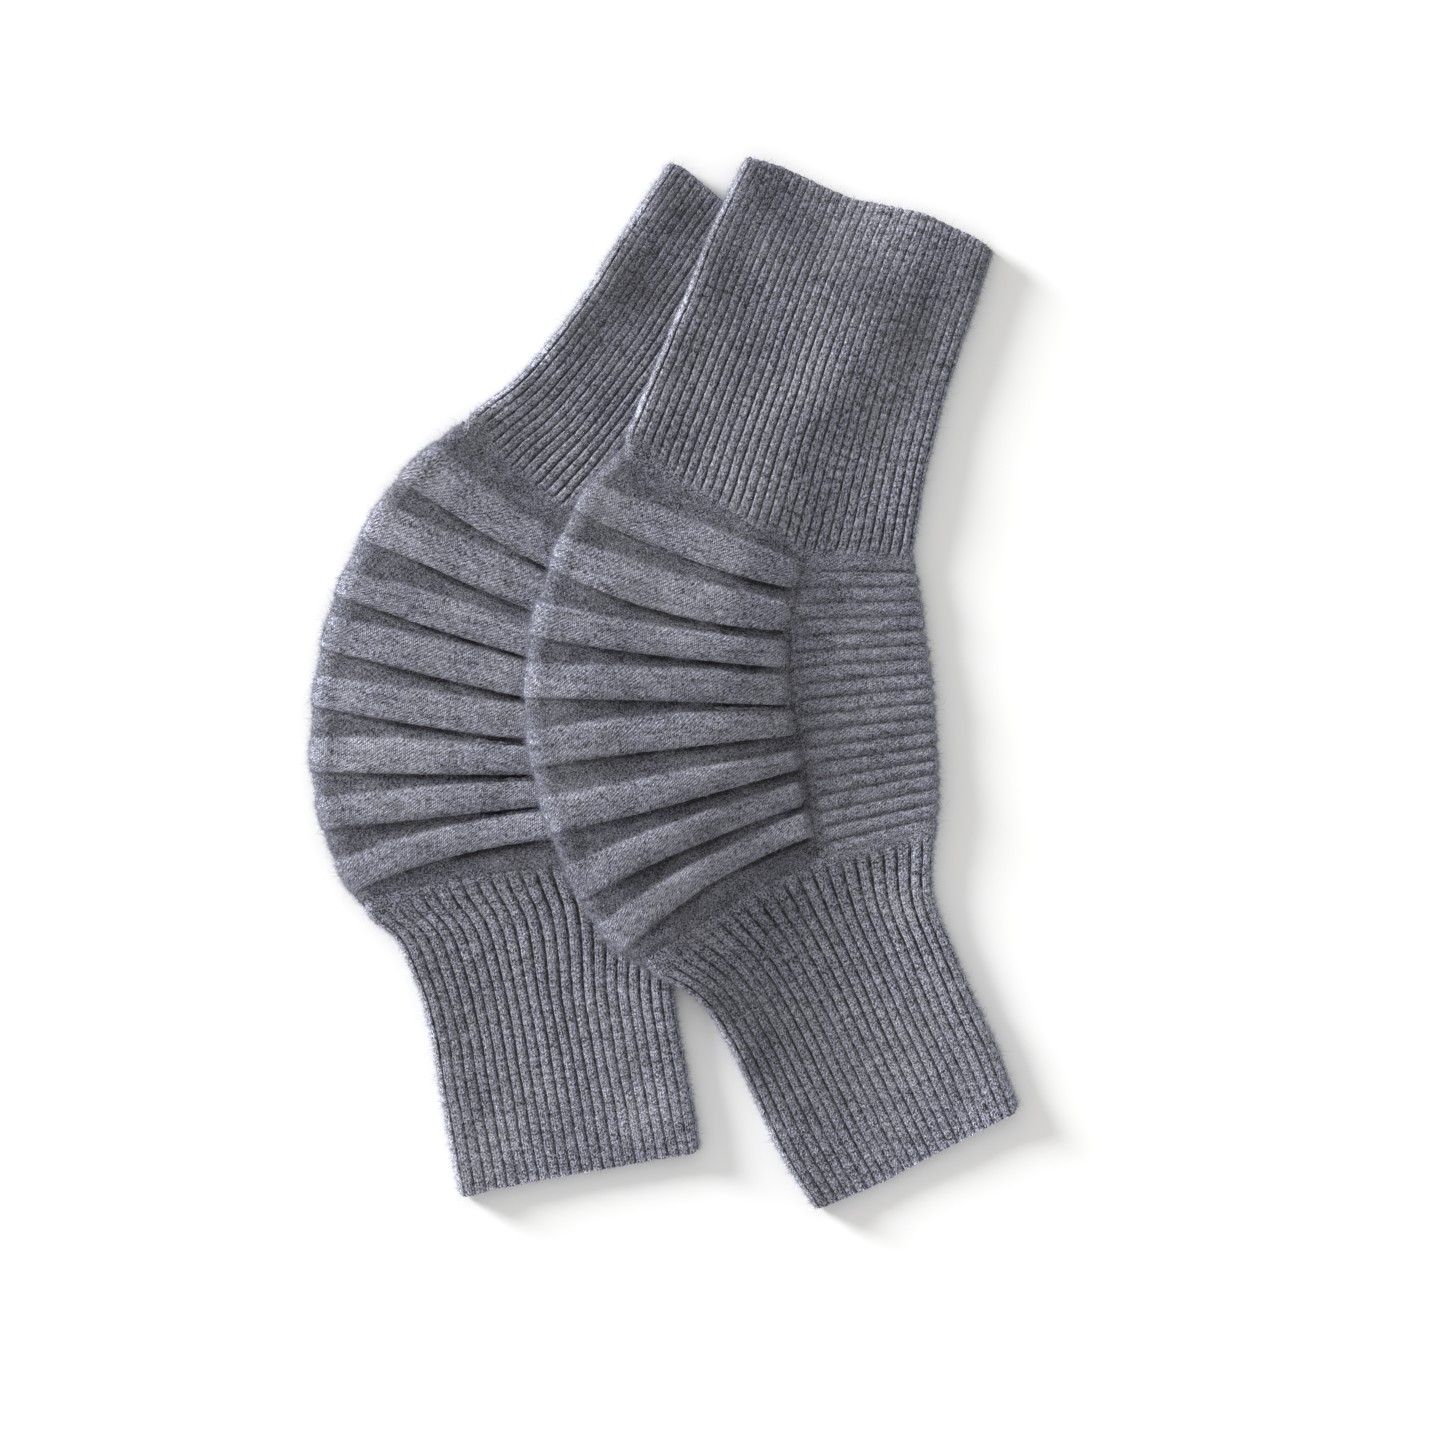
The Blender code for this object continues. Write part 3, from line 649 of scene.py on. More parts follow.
def cuff_panel(warmer, cuff, sections, line, wave, seed):
    """A ribbed cuff, with its sections from mouth to knee; its rows run down the page."""
    mouth, knee = sections[0], sections[-1]
    along = np.array([mouth.front_x - knee.front_x, mouth.front_y - knee.front_y])
    length = np.linalg.norm(along)
    along /= length
    width = np.hypot(mouth.back_x - mouth.front_x, mouth.back_y - mouth.front_y)
    columns, number = rib_columns(cuff.ribs, width)
    way = way_to_knee(warmer, sections, line)
    past_end = np.array([TUCK_LEVEL, TUCK_UNDER]) / length
    shares = np.concatenate([LIP_ROWS, np.linspace(FIRST_ROW, 1.0, MORE_ROWS), 1.0 + past_end])
    mouth_below = along[1] < 0
    if mouth_below:
        shares = shares[::-1]
    rows = []
    for share in shares:

        def plan(where, share=share):
            points = cuff_line(sections, way, min(share, 1.0), where)
            waved = np.interp(where, *np.transpose(wave)) * max(1.0 - share, 0.0) ** WAVE_DIES
            longer = cuff.reach * max(0.0, 1.0 - share * warmer.reach_fade)
            return points + np.outer(waved + longer - max(share - 1.0, 0.0) * length, along)

        rows.append(knit_row(plan, columns, (share - 1.0) * length))
    grid = hand_laid(np.array(rows))

    from_mouth = (shares * length)[:, None]
    to_knee = ((1.0 - shares) * length)[:, None]
    draw = np.random.default_rng(seed)
    uneven = 1.0 + UNEVEN * draw.standard_normal(cuff.ribs)[number.astype(int) % cuff.ribs]
    matted = np.minimum(marked(grid, MATTED[warmer.name]), 1.0)
    late = LATE_AT_FOLD * np.exp(-((columns.place / LATE_REACH) ** 2))
    ribbed = smoothstep((to_knee + PAST_JOINT - late) / cuff.begin) * (1.0 - MATTING * matted)
    crest = rib_crest(number)
    groove = (1.0 - crest) * ribbed
    depth = cuff.depth * np.clip(uneven, LEAST_DEEP, MOST_DEEP) * groove
    depth = depth * (FLAT_AT_MOUTH + (1.0 - FLAT_AT_MOUTH) * smoothstep(from_mouth / DEEP_FROM))
    depth = depth + cuff.lip * np.exp(-((from_mouth / LIP_WIDTH) ** 2))
    tuck_ends(depth, first=mouth_below, last=not mouth_below)
    grid = sink_towards(grid, depth)
    scallop = SCALLOP * (crest - SCALLOP_MIDDLE) * np.exp(-from_mouth / SCALLOP_REACH)
    grid[..., :2] += scallop[..., None] * along

    stitches = np.stack(np.broadcast_arrays(number[None, :], from_mouth / COURSE), axis=2)
    plain = np.broadcast_to(1.0 - ribbed, groove.shape)
    rim = np.maximum(on_folds(columns), np.exp(-((from_mouth / RIM_WIDTH) ** 2)))
    return Panel(grid, stitches, groove, plain, rim)


print("rows of a cuff:", len(LIP_ROWS) + MORE_ROWS + 2)

# %% [markdown]
# ## The welts of the knee front
#
# A welt is a tuck: a few rows of knitting folded up on themselves, so that they stand out as
# a soft flat ribbon. Its upper edge slopes, its lower edge hangs over a dark crevice, and it
# dies away in a round end just before the side seam. The grid gets a row for each step of
# that outline, and the rows at the lower edge turn back under it, which a bump map can't do.
# Between the welts the purl side of the knitting shows. Where hands have pressed the knee,
# the welts sink back towards the ground and their crevices close.

# %% Lines across the knee front


def between(one, other, share):
    return Line(*(a + (b - a) * share for a, b in zip(one, other)))


def past(line, distance):
    """The line moved up the page by distance."""
    return Line(line.fold + distance, line.seam + distance, line.bow)


def towards(line, other, distance, share):
    """The line moved towards the other by distance, but at most by that share of the way."""
    here, there = (
        np.array([row.fold, (row.fold + row.seam) / 2 + row.bow, row.seam]) for row in (line, other)
    )
    gap = there - here
    step = np.sign(gap) * np.minimum(distance, share * np.abs(gap))
    fold, middle, seam = here + step
    return Line(fold, seam, middle - (fold + seam) / 2)


print("halfway down the knee:", between(OVER.rib_end, OVER.calf_start, 0.5))

# %% Rows of the knee front
# Share of the welt's width from its upper edge, share of its rise, and share of the width by
# which the row is drawn back under the welt
WELT_PROFILE = [
    (0.00, 0.07, 0.0), (0.04, 0.28, 0.0), (0.09, 0.52, 0.0), (0.15, 0.72, 0.0),
    (0.23, 0.87, 0.0), (0.33, 0.96, 0.0), (0.46, 1.01, 0.0), (0.59, 1.02, 0.0),
    (0.71, 0.99, 0.0), (0.81, 0.92, 0.0), (0.89, 0.81, 0.01), (0.94, 0.66, 0.02),
    (0.965, 0.46, 0.01), (0.98, 0.25, -0.03), (0.99, 0.06, -0.08),
]
# Below a welt: distance in mm, the most it may be of the way to the next welt, rise, painted shade
CREVICE = [
    (0.25, 0.12, -0.12, 1.0), (0.80, 0.30, -0.12, 1.0), (1.7, 0.50, -0.10, 0.6),
    (3.0, 0.68, -0.08, 0.15),
]
# Painted shade under a welt's lower edge, by share of the welt's width
CREVICE_SHARES, CREVICE_SHADES = [0.95, 0.985], [0.0, 1.0]  # darkness under a welt's lower edge
COURSES_ON_WELT = 11
WELT_BLUNT, WELT_STOP = 2.8, 0.8  # a welt's end is round, and stops short of the seam
PURL_BELOW = 0.4  # share of a welt's rise under which the purl side shows
GROUND_SUNK, GROUND_ROWS, END_ROWS = -0.06, 3, 6
FOOT, FOOT_SHARE = 0.8, 0.12  # the ground ends this far above the next welt

Row = namedtuple(
    "Row", "line course rise blunt ground drawn shade", defaults=(0.0, 0.0, 1.0, None, 0.0)
)
# course: its number in stitch rows; rise: share of a welt's height; ground: 1 where the purl
# side shows; drawn: the lines between which it is drawn back, and by what share; shade: 1 where
# a crevice's shade is painted darkest


def welt_rows(top, bottom, course):
    rows = []
    for share, rise, back in WELT_PROFILE:
        rows.append(Row(
            line=between(top, bottom, share),
            course=course + share * COURSES_ON_WELT,
            rise=rise,
            blunt=WELT_STOP + WELT_BLUNT * abs(2 * share - 1) ** 3,
            ground=1.0 - smoothstep(rise / PURL_BELOW),
            drawn=(top, bottom, back) if back else None,
            shade=np.interp(share, CREVICE_SHARES, CREVICE_SHADES),
        ))
    return rows


def knee_rows(warmer):
    rows = [Row(past(warmer.rib_end, far), -far) for far in (TUCK_UNDER, TUCK_LEVEL)]
    edge, course = warmer.rib_end, 0.0
    for index, welt in enumerate([*warmer.welts, None]):
        first, last = index == 0, welt is None
        top = warmer.calf_start if last else Line(welt.fold_top, welt.seam_top, welt.bow_top)
        wide = (edge.fold + edge.seam - top.fold - top.seam) / 2 / COURSE
        begun, least = edge, 0.0
        if not first:
            for distance, share, rise, shade in CREVICE:
                begun, least = towards(edge, top, distance, share), share
                rows.append(Row(begun, course + share * wide, rise, shade=shade))
        closing = top if last else towards(top, edge, FOOT, FOOT_SHARE)
        steps = np.linspace(0.0, 1.0, (END_ROWS if first or last else GROUND_ROWS) + 1)
        for step in steps if first else steps[1:]:
            sunk = min(2.0 * step if first else 1.0, 2.0 * (1.0 - step) if last else 1.0)
            number = course + (least + (1.0 - least) * step) * wide
            rows.append(Row(between(begun, closing, step), number, GROUND_SUNK * sunk))
        course += wide
        if not last:
            edge = Line(welt.fold_bottom, welt.seam_bottom, welt.bow_bottom)
            rows += welt_rows(top, edge, course)
            course += COURSES_ON_WELT
    return rows + [Row(past(top, -far), course + far) for far in (TUCK_LEVEL, TUCK_UNDER)]


print("rows in the knee front:", len(knee_rows(OVER)))

# %% Knee front panel
FRONT_COLUMNS = half_columns(top=92, turn=11, under=26, fold="front")
FOLD_COLUMN = int(np.argmin(np.abs(FRONT_COLUMNS.tilt)))
UNDER_BACK = 0.9  # how deep the edge of the front goes in under the knee back
CORNER_SINK, CORNER_REACH = 1.7, 5.0
# Painted shade: in the seam's crease and its soft hollow, and on the purl ground between welts
CREASE, CREASE_WIDTH, HOLLOW_SEAM = 0.4, 0.9, 0.15
GROUND_HOLLOW = 0.18
# Painted shade in the crevices: faint near the fold, uneven along them, gone before the seam
CREVICE_AT_FOLD, CREVICE_OPEN_TO = 0.3, 60.0  # a crevice is open and pale near the fold
CREVICE_MEAN, CREVICE_SPREAD, CREVICE_LEAST = 0.75, 0.4, 0.3
CREVICE_END = 2.5  # it dies away over this length before the seam


def seam_shade(from_seam):
    """The shade painted along the seam: sharp in its crease, in the middle of a soft hollow."""
    soft = HOLLOW_SEAM * np.exp(-((from_seam / SEAM_REACH) ** 2))
    return soft + CREASE * np.exp(-((from_seam / CREASE_WIDTH) ** 2))


def from_seam_along(grid):
    """How far each point of a panel lies from its last column, along its own row."""
    steps = np.linalg.norm(np.diff(grid, axis=1, append=grid[:, -1:]), axis=2)
    return np.cumsum(steps[:, ::-1], axis=1)[:, ::-1]


def crevice_painted_shade(rows, grid, from_fold, from_seam, pressed):
    """How much shade is painted in the crevices: open at the fold, closed here and there, gone
    where pressed.
    """
    crevice = np.array([row.shade for row in rows])[:, None]
    closed = smoothstep((from_fold - 1.0) / CREVICE_OPEN_TO)
    crevice = crevice * (CREVICE_AT_FOLD + (1.0 - CREVICE_AT_FOLD) * closed)
    dark = np.clip(CREVICE_MEAN + CREVICE_SPREAD * closeness(grid), CREVICE_LEAST, 1.0)
    crevice *= dark * smoothstep((from_seam - WELT_STOP) / CREVICE_END)
    return crevice * (1.0 - pressed)


def knee_front_panel(warmer):
    rows = knee_rows(warmer)
    seams = [row.line.seam for row in rows[2:-2]]
    points = []
    for row in rows:
        inside = max(min(seams[0] - row.line.seam, row.line.seam - seams[-1]), 0.0)

        def plan(where, row=row):
            return front_line(warmer, row.line, where)

        def undercut(where, row=row):
            top, bottom, back = row.drawn
            return (front_line(warmer, bottom, where) - front_line(warmer, top, where)) * back

        under = undercut if row.drawn else None
        points.append(knit_row(plan, FRONT_COLUMNS, inside, row.rise, row.blunt, under))
    grid = hand_laid(np.array(points))
    pressed = np.clip(marked(grid, PRESSED[warmer.name]), 0.0, 1.0)
    ground_level = WELT_RISE_UNDER + 2 * WALL + KNEE_GAP
    grid[..., 2] -= pressed * np.maximum(grid[..., 2] - ground_level, 0.0)

    from_seam = np.linalg.norm(grid[..., :2] - grid[:, -2:-1, :2], axis=2)
    from_fold = np.linalg.norm(grid[..., :2] - grid[:, FOLD_COLUMN : FOLD_COLUMN + 1, :2], axis=2)
    near_seam = np.exp(-((from_seam / SEAM_REACH) ** 2))
    depth = SEAM_SINK * near_seam + UNDER_BACK * (FRONT_COLUMNS.place > 1.0)
    tuck_ends(depth)
    tucked = np.array([1.0, 1.0] + [0.0] * (len(rows) - 4) + [1.0, 1.0])[:, None]
    depth += CORNER_SINK * tucked * np.exp(-((from_fold / CORNER_REACH) ** 2))
    grid = sink_towards(grid, depth)

    course = np.array([row.course for row in rows])[:, None]
    stitches = np.stack(np.broadcast_arrays(-from_seam_along(grid) / WALE, course), axis=2)
    ground = np.broadcast_to(np.array([row.ground for row in rows])[:, None], depth.shape)
    hollow = np.maximum(seam_shade(from_seam), GROUND_HOLLOW * ground)
    hollow = np.maximum(hollow, crevice_painted_shade(rows, grid, from_fold, from_seam, pressed))
    rim = np.broadcast_to(on_folds(FRONT_COLUMNS), depth.shape)
    return Panel(grid, stitches, hollow, ground, rim)


front = knee_front_panel(OVER)
print("knee front grid:", front.grid.shape)

# %% [markdown]
# ## The ridges of the knee back
#
# Behind the side seam the tube is knitted in nineteen fine ridges, rolls of purl stitches
# with a sharp valley between each two. They make the back of the knee short and springy.
# Eight grid rows to a ridge are enough for its round back and its valley.

# %% Knee back panel
RIDGES = 19
RIDGE_STEPS = np.array([0.0, 0.07, 0.17, 0.32, 0.5, 0.68, 0.83, 0.93])
RIDGE_DEPTH, COURSES_ON_RIDGE = 1.0, 5
VALLEY_SHARP, LEAST_RIDGE, RIDGE_FULL_FROM = 1.9, 0.25, 5.0
# Painted shade in the valleys between the ridges
RIDGE_HOLLOW, HOLLOW_SHARP = 0.55, 1.5
END_RIDGE = 0.7  # the share of the first and the last ridge over which they rise
BACK_COLUMNS = half_columns(top=46, turn=11, under=16, fold="back")


def knee_back_panel(warmer):
    height = warmer.rib_end.seam - warmer.calf_start.seam
    number = np.append((np.arange(RIDGES)[:, None] + RIDGE_STEPS).ravel(), RIDGES)
    past_end = np.array([TUCK_LEVEL, TUCK_UNDER]) / height
    shares = np.concatenate([-past_end[::-1], number / RIDGES, 1.0 + past_end])
    number = np.pad(number, 2, "edge")
    points = []
    for share in shares:

        def plan(where, share=share):
            return back_line(warmer, share, where)

        points.append(knit_row(plan, BACK_COLUMNS, max(min(share, 1.0 - share), 0.0) * height))
    grid = hand_laid(np.array(points))
    from_seam = np.linalg.norm(grid[..., :2] - grid[:, :1, :2], axis=2)
    valley = np.abs(2 * (number % 1.0) - 1.0)[:, None] ** VALLEY_SHARP
    ends = smoothstep(np.minimum(number, RIDGES - number) / END_RIDGE)[:, None]
    strength = (LEAST_RIDGE + (1.0 - LEAST_RIDGE) * smoothstep(from_seam / RIDGE_FULL_FROM)) * ends
    near_seam = np.exp(-((from_seam / SEAM_REACH) ** 2))
    depth = RIDGE_DEPTH * valley * strength + SEAM_SINK * near_seam
    tuck_ends(depth)
    grid = sink_towards(grid, depth)
    along = from_seam_along(grid[:, ::-1])[:, ::-1]
    course = number[:, None] * COURSES_ON_RIDGE
    stitches = np.stack(np.broadcast_arrays(along / WALE, course), axis=2)
    hollow = np.maximum(seam_shade(from_seam), RIDGE_HOLLOW * valley**HOLLOW_SHARP * strength)
    rim = np.broadcast_to(on_folds(BACK_COLUMNS), hollow.shape)
    return Panel(grid, stitches, hollow, np.broadcast_to(0.5, hollow.shape), rim)


print("knee back grid:", knee_back_panel(OVER).grid.shape)

# %% [markdown]
# ## One warmer over the other
#
# The upper warmer lies across the lower one and comes down to the table beside it. Cloth
# can't follow a step, so it spans it in a soft slope. The height of the lower warmer is
# drawn on a coarse map of the table, widened a little, then blurred, and the upper warmer
# is lifted by what that map says under each of its points.

# %% Drape of the upper warmer
REST_CLEARANCE = 1.0
DRAPE_CELL, DRAPE_REACH, DRAPE_SOFTNESS = 2.5, 14.0, 9.5


def resting_height(panels):
    """How high the warmer on top lies over these panels, as a function of the place."""
    margin = DRAPE_REACH + 3 * DRAPE_SOFTNESS
    points = np.concatenate([panel.grid.reshape(-1, 3) for panel in panels])
    low = points[:, :2].min(axis=0) - margin
    size = np.ceil((points[:, :2].max(axis=0) + margin - low) / DRAPE_CELL).astype(int) + 1
    height = np.zeros(size)
    cell = np.round((points[:, :2] - low) / DRAPE_CELL).astype(int)
    np.maximum.at(height, (cell[:, 0], cell[:, 1]), points[:, 2])
    height = np.where(height > 0, height + REST_CLEARANCE, 0.0)
    spread = height.copy()
    reach = int(np.ceil(DRAPE_REACH / DRAPE_CELL))
    for dx in range(-reach, reach + 1):
        for dy in range(-reach, reach + 1):
            if np.hypot(dx, dy) * DRAPE_CELL <= DRAPE_REACH:
                spread = np.maximum(spread, np.roll(height, (dx, dy), axis=(0, 1)))
    offsets = np.arange(-3 * DRAPE_SOFTNESS, 3 * DRAPE_SOFTNESS + DRAPE_CELL, DRAPE_CELL)
    weights = np.exp(-0.5 * (offsets / DRAPE_SOFTNESS) ** 2)
    weights /= weights.sum()
    for axis in (0, 1):
        spread = np.apply_along_axis(np.convolve, axis, spread, weights, "same")

    def cover(grid):
        where = np.clip((grid[..., :2] - low) / DRAPE_CELL, 0, np.array(size) - 1.001)
        cell = where.astype(int)
        across, up = (where - cell)[..., 0], (where - cell)[..., 1]
        x, y = cell[..., 0], cell[..., 1]
        return (
            spread[x, y] * (1 - across) * (1 - up)
            + spread[x + 1, y] * across * (1 - up)
            + spread[x, y + 1] * (1 - across) * up
            + spread[x + 1, y + 1] * across * up
        )

    return cover


print("the map has one height for every", DRAPE_CELL, "mm")

# %% All the panels in their places


def panels_of(warmer, seed):
    """The four panels of a warmer as it would lie on the bare table."""
    thigh = warmer.thigh, warmer.rib_end, warmer.thigh_wave
    calf = warmer.calf[::-1], warmer.calf_start, warmer.calf_wave
    return {
        "thigh_cuff": cuff_panel(warmer, THIGH_CUFF, *thigh, seed),
        "knee_front": knee_front_panel(warmer),
        "knee_back": knee_back_panel(warmer),
        "calf_cuff": cuff_panel(warmer, CALF_CUFF, *calf, seed + 1),
    }


under_panels = panels_of(UNDER, 21)
cover = resting_height(under_panels.values())
over_panels = panels_of(OVER, 31)
for panel in over_panels.values():
    panel.grid[..., 2] += cover(panel.grid)
highest = max(float(panel.grid[..., 2].max()) for panel in over_panels.values())
print("highest point:", round(highest, 1), "mm")

# %% [markdown]
# ## Yarn colour
#
# The wool is a heather: fibres from nearly white to nearly black, spun together, which read
# as a cool mid grey. Close up it is a field of short light and dark flecks, and from further
# off it has faint patches, some bluer and some browner. One node group mixes all of that, so
# that every panel is made of the same yarn. A second group draws the stitches: each column
# of knitting is a chain of V shapes, two slanting legs to a stitch. Modelling every loop
# would take millions of faces, so the materials draw them, as bumps with flecks of colour
# along each leg.

# %% Node helpers


class Nodes:
    """Adds nodes to a tree and links them, with values given by socket name or number."""

    def __init__(self, tree):
        self.tree = tree

    def add(self, kind, settings=None, **inputs):
        node = self.tree.nodes.new(kind)
        for key, value in (settings or {}).items():
            setattr(node, key, value)
        for key, value in inputs.items():
            target = node.inputs[int(key[1:]) if key[0] == "i" and key[1:].isdigit() else key]
            self.feed(target, value)
        return node

    def feed(self, target, value):
        if isinstance(value, bpy.types.NodeSocket):
            self.tree.links.new(value, target)
        else:
            target.default_value = value

    def math(self, operation, a, b=0.0):
        return self.add("ShaderNodeMath", {"operation": operation}, i0=a, i1=b).outputs[0]

    def plus(self, a, b):
        return self.math("ADD", a, b)

    def minus(self, a, b):
        return self.math("SUBTRACT", a, b)

    def times(self, a, b):
        return self.math("MULTIPLY", a, b)

    def keep(self, mask, share):
        """1 where the mask is 0, and that share less where the mask is 1."""
        return self.minus(1.0, self.times(mask, share))

    def blend(self, share, a, b):
        return self.add("ShaderNodeMix", {"data_type": "RGBA"}, i0=share, i6=a, i7=b).outputs[2]

    def noise(self, vector, scale, detail=2.0, rough=0.5):
        return self.add(
            "ShaderNodeTexNoise", None, Vector=vector, Scale=scale, Detail=detail, Roughness=rough
        ).outputs[0]

    def remap(self, value, low, high, to_low, to_high):
        return self.add(
            "ShaderNodeMapRange", {"interpolation_type": "SMOOTHSTEP"},
            i0=value, i1=low, i2=high, i3=to_low, i4=to_high,
        ).outputs[0]

    def attribute(self, name):
        return self.add("ShaderNodeAttribute", {"attribute_name": name}).outputs["Fac"]


def node_group(name, inputs, outputs):
    """An empty group with these sockets, its nodes, and what its inputs give. An input is a
    number's default, or None for a vector."""
    group = bpy.data.node_groups.new(name, "ShaderNodeTree")
    for label, default in inputs.items():
        kind = "NodeSocketVector" if default is None else "NodeSocketFloat"
        made = group.interface.new_socket(label, in_out="INPUT", socket_type=kind)
        if default is not None:
            made.default_value = default
    for label, kind in outputs.items():
        group.interface.new_socket(label, in_out="OUTPUT", socket_type=kind)
    nodes = Nodes(group)
    return group, nodes, nodes.add("NodeGroupInput").outputs


def grey(value, warmth=0.0):
    """A cool grey of this lightness; warmth moves it towards brown."""
    return (value * (0.985 + 0.04 * warmth), value * 1.005, value * (1.24 - 0.12 * warmth), 1.0)


print("node helpers ready")

# %% Heathered yarn group
yarn, n, given = node_group(
    "heathered_yarn",
    {"Place": None, "Along Leg": None, "Along Yarn": None, "Lightness": 1.0, "Hollow": 0.0,
     "Leg Flecks": 4.0, "Loose Flecks": 3.0},
    {"Colour": "NodeSocketColor"},
)
patches = n.noise(given["Place"], 38.0, 3.0, 0.55)
mottle = n.noise(given["Place"], 420.0, 3.0, 0.6)
streaks = n.noise(given["Along Yarn"], 1.0, 2.0, 0.6)
fleck = n.noise(given["Along Leg"], 1.0, 1.5, 0.6)
fibre = n.noise(given["Place"], 1500.0, 1.0, 0.7)
BLUISH, BROWNISH = grey(0.176), grey(0.174, warmth=0.40)
DARKEST, PAINTED_HOLLOW_SHADE = 0.12, 0.84
base = n.blend(n.remap(patches, 0.40, 0.62, 0.0, 1.0), BLUISH, BROWNISH)
tone = 1.0
for spread, strength in (
    (fleck, given["Leg Flecks"]), (fibre, given["Loose Flecks"]), (mottle, 1.4), (streaks, 1.6),
    (patches, 0.9),
):
    tone = n.plus(n.times(n.minus(spread, 0.5), strength), tone)
tone = n.times(n.math("MAXIMUM", tone, DARKEST), given["Lightness"])
# Painted shade: darker where the hollow mask marks a groove, crevice, valley or seam
tone = n.times(tone, n.keep(given["Hollow"], PAINTED_HOLLOW_SHADE))
lit = n.add("ShaderNodeVectorMath", {"operation": "SCALE"}, i0=base, Scale=tone).outputs[0]
n.add("NodeGroupOutput", Colour=lit)
print("yarn group:", len(yarn.nodes), "nodes")

# %% Stitch group
stitch, n, given = node_group(
    "v_stitches",
    {"Column": 0.0, "Row": 0.0, "Slant": 0.8, "Lean": 0.0, "Shift": 0.0, "Flecks Across": 2.2,
     "Flecks Along": 2.2},
    {"Height": "NodeSocketFloat", "Along Leg": "NodeSocketVector"},
)
column = n.plus(given["Column"], n.times(given["Shift"], 0.25))
across = n.math("ABSOLUTE", n.minus(n.times(n.math("FRACT", column), 2.0), 1.0))
row = n.plus(given["Row"], n.times(given["Shift"], 0.5))
on_leg = n.plus(row, n.times(across, given["Slant"]))
on_leg = n.plus(on_leg, n.times(column, given["Lean"]))
bead = n.math("COSINE", n.times(on_leg, 2 * np.pi))
bead = n.plus(n.times(bead, 0.5), 0.5)
off_centre = n.minus(n.times(across, 2.0), 1.0)
leg = n.math("POWER", n.minus(1.0, n.times(off_centre, off_centre)), 0.5)
height = n.times(leg, n.plus(0.4, n.times(bead, 0.6)))
legwise = n.add(
    "ShaderNodeCombineXYZ", None, X=n.times(column, given["Flecks Across"]),
    Y=n.times(on_leg, given["Flecks Along"]),
).outputs[0]
n.add("NodeGroupOutput", None, **{"Height": height, "Along Leg": legwise})
print("stitch group:", len(stitch.nodes), "nodes")

# %% [markdown]
# ## Wool for each kind of knitting
#
# One function makes the four wools. Stitches are placed by a UV map that counts columns and
# rows, so they follow the cloth wherever it bends. Where the purl side shows, the V shapes
# sink and the flecks lie at random. Between two ribs runs a thin line of painted shade, a
# zigzag that follows the stitches and is lost where the ribs are matted. The tone of each
# point, which carries painted light and shade, makes the wool lighter or darker. A weak
# sheen stands for the finest hairs.

# %% New materials, and the line between two ribs
SHADER = {
    "Roughness": 0.92, "Specular IOR Level": 0.18, "Sheen Weight": 0.22, "Sheen Roughness": 0.55,
    "Sheen Tint": (0.86, 0.88, 0.95, 1.0),
}
KNIT_HEIGHT, FLUFF_HEIGHT, GROOVE_HEIGHT = 0.0003, 0.0006, 0.0006  # metres, for the bump
# The groove's painted shade grows from faint at the mouth to full over these stitch rows
FAINT_FROM, FAINT_TO = 5.0, 75.0  # stitch rows from the mouth over which a line darkens


def new_material(name, settings):
    """A material with these shader settings, the shader's inputs, and its nodes."""
    made = bpy.data.materials.new(name)
    made.use_nodes = True
    shader = made.node_tree.nodes["Principled BSDF"]
    for label, value in settings.items():
        shader.inputs[label].default_value = value
    return made, shader.inputs, Nodes(made.node_tree)


def groove_shade_line(n, parts, place, plain, astray, width, faint_at_mouth):
    """Painted shade: the thin dark line between two ribs, a zigzag of stitches, wandering and in
    places lost.
    """
    zigzag = n.times(n.math("PINGPONG", parts["Y"], 0.5), 0.4 * width)
    beside = n.plus(zigzag, n.times(astray, 0.16))
    away = n.math("PINGPONG", n.plus(parts["X"], beside), 0.5)
    line = n.remap(away, 0.45 * width, width, 1.0, 0.0)
    line = n.times(line, n.minus(1.0, plain))
    line = n.times(line, n.remap(n.noise(place, 330.0, 2.0, 0.6), 0.36, 0.58, 0.15, 1.0))
    return n.times(line, n.remap(parts["Y"], FAINT_FROM, FAINT_TO, faint_at_mouth, 1.0))


print("stitches are drawn", KNIT_HEIGHT / MM, "mm high")

# %% Wool for one kind of knitting


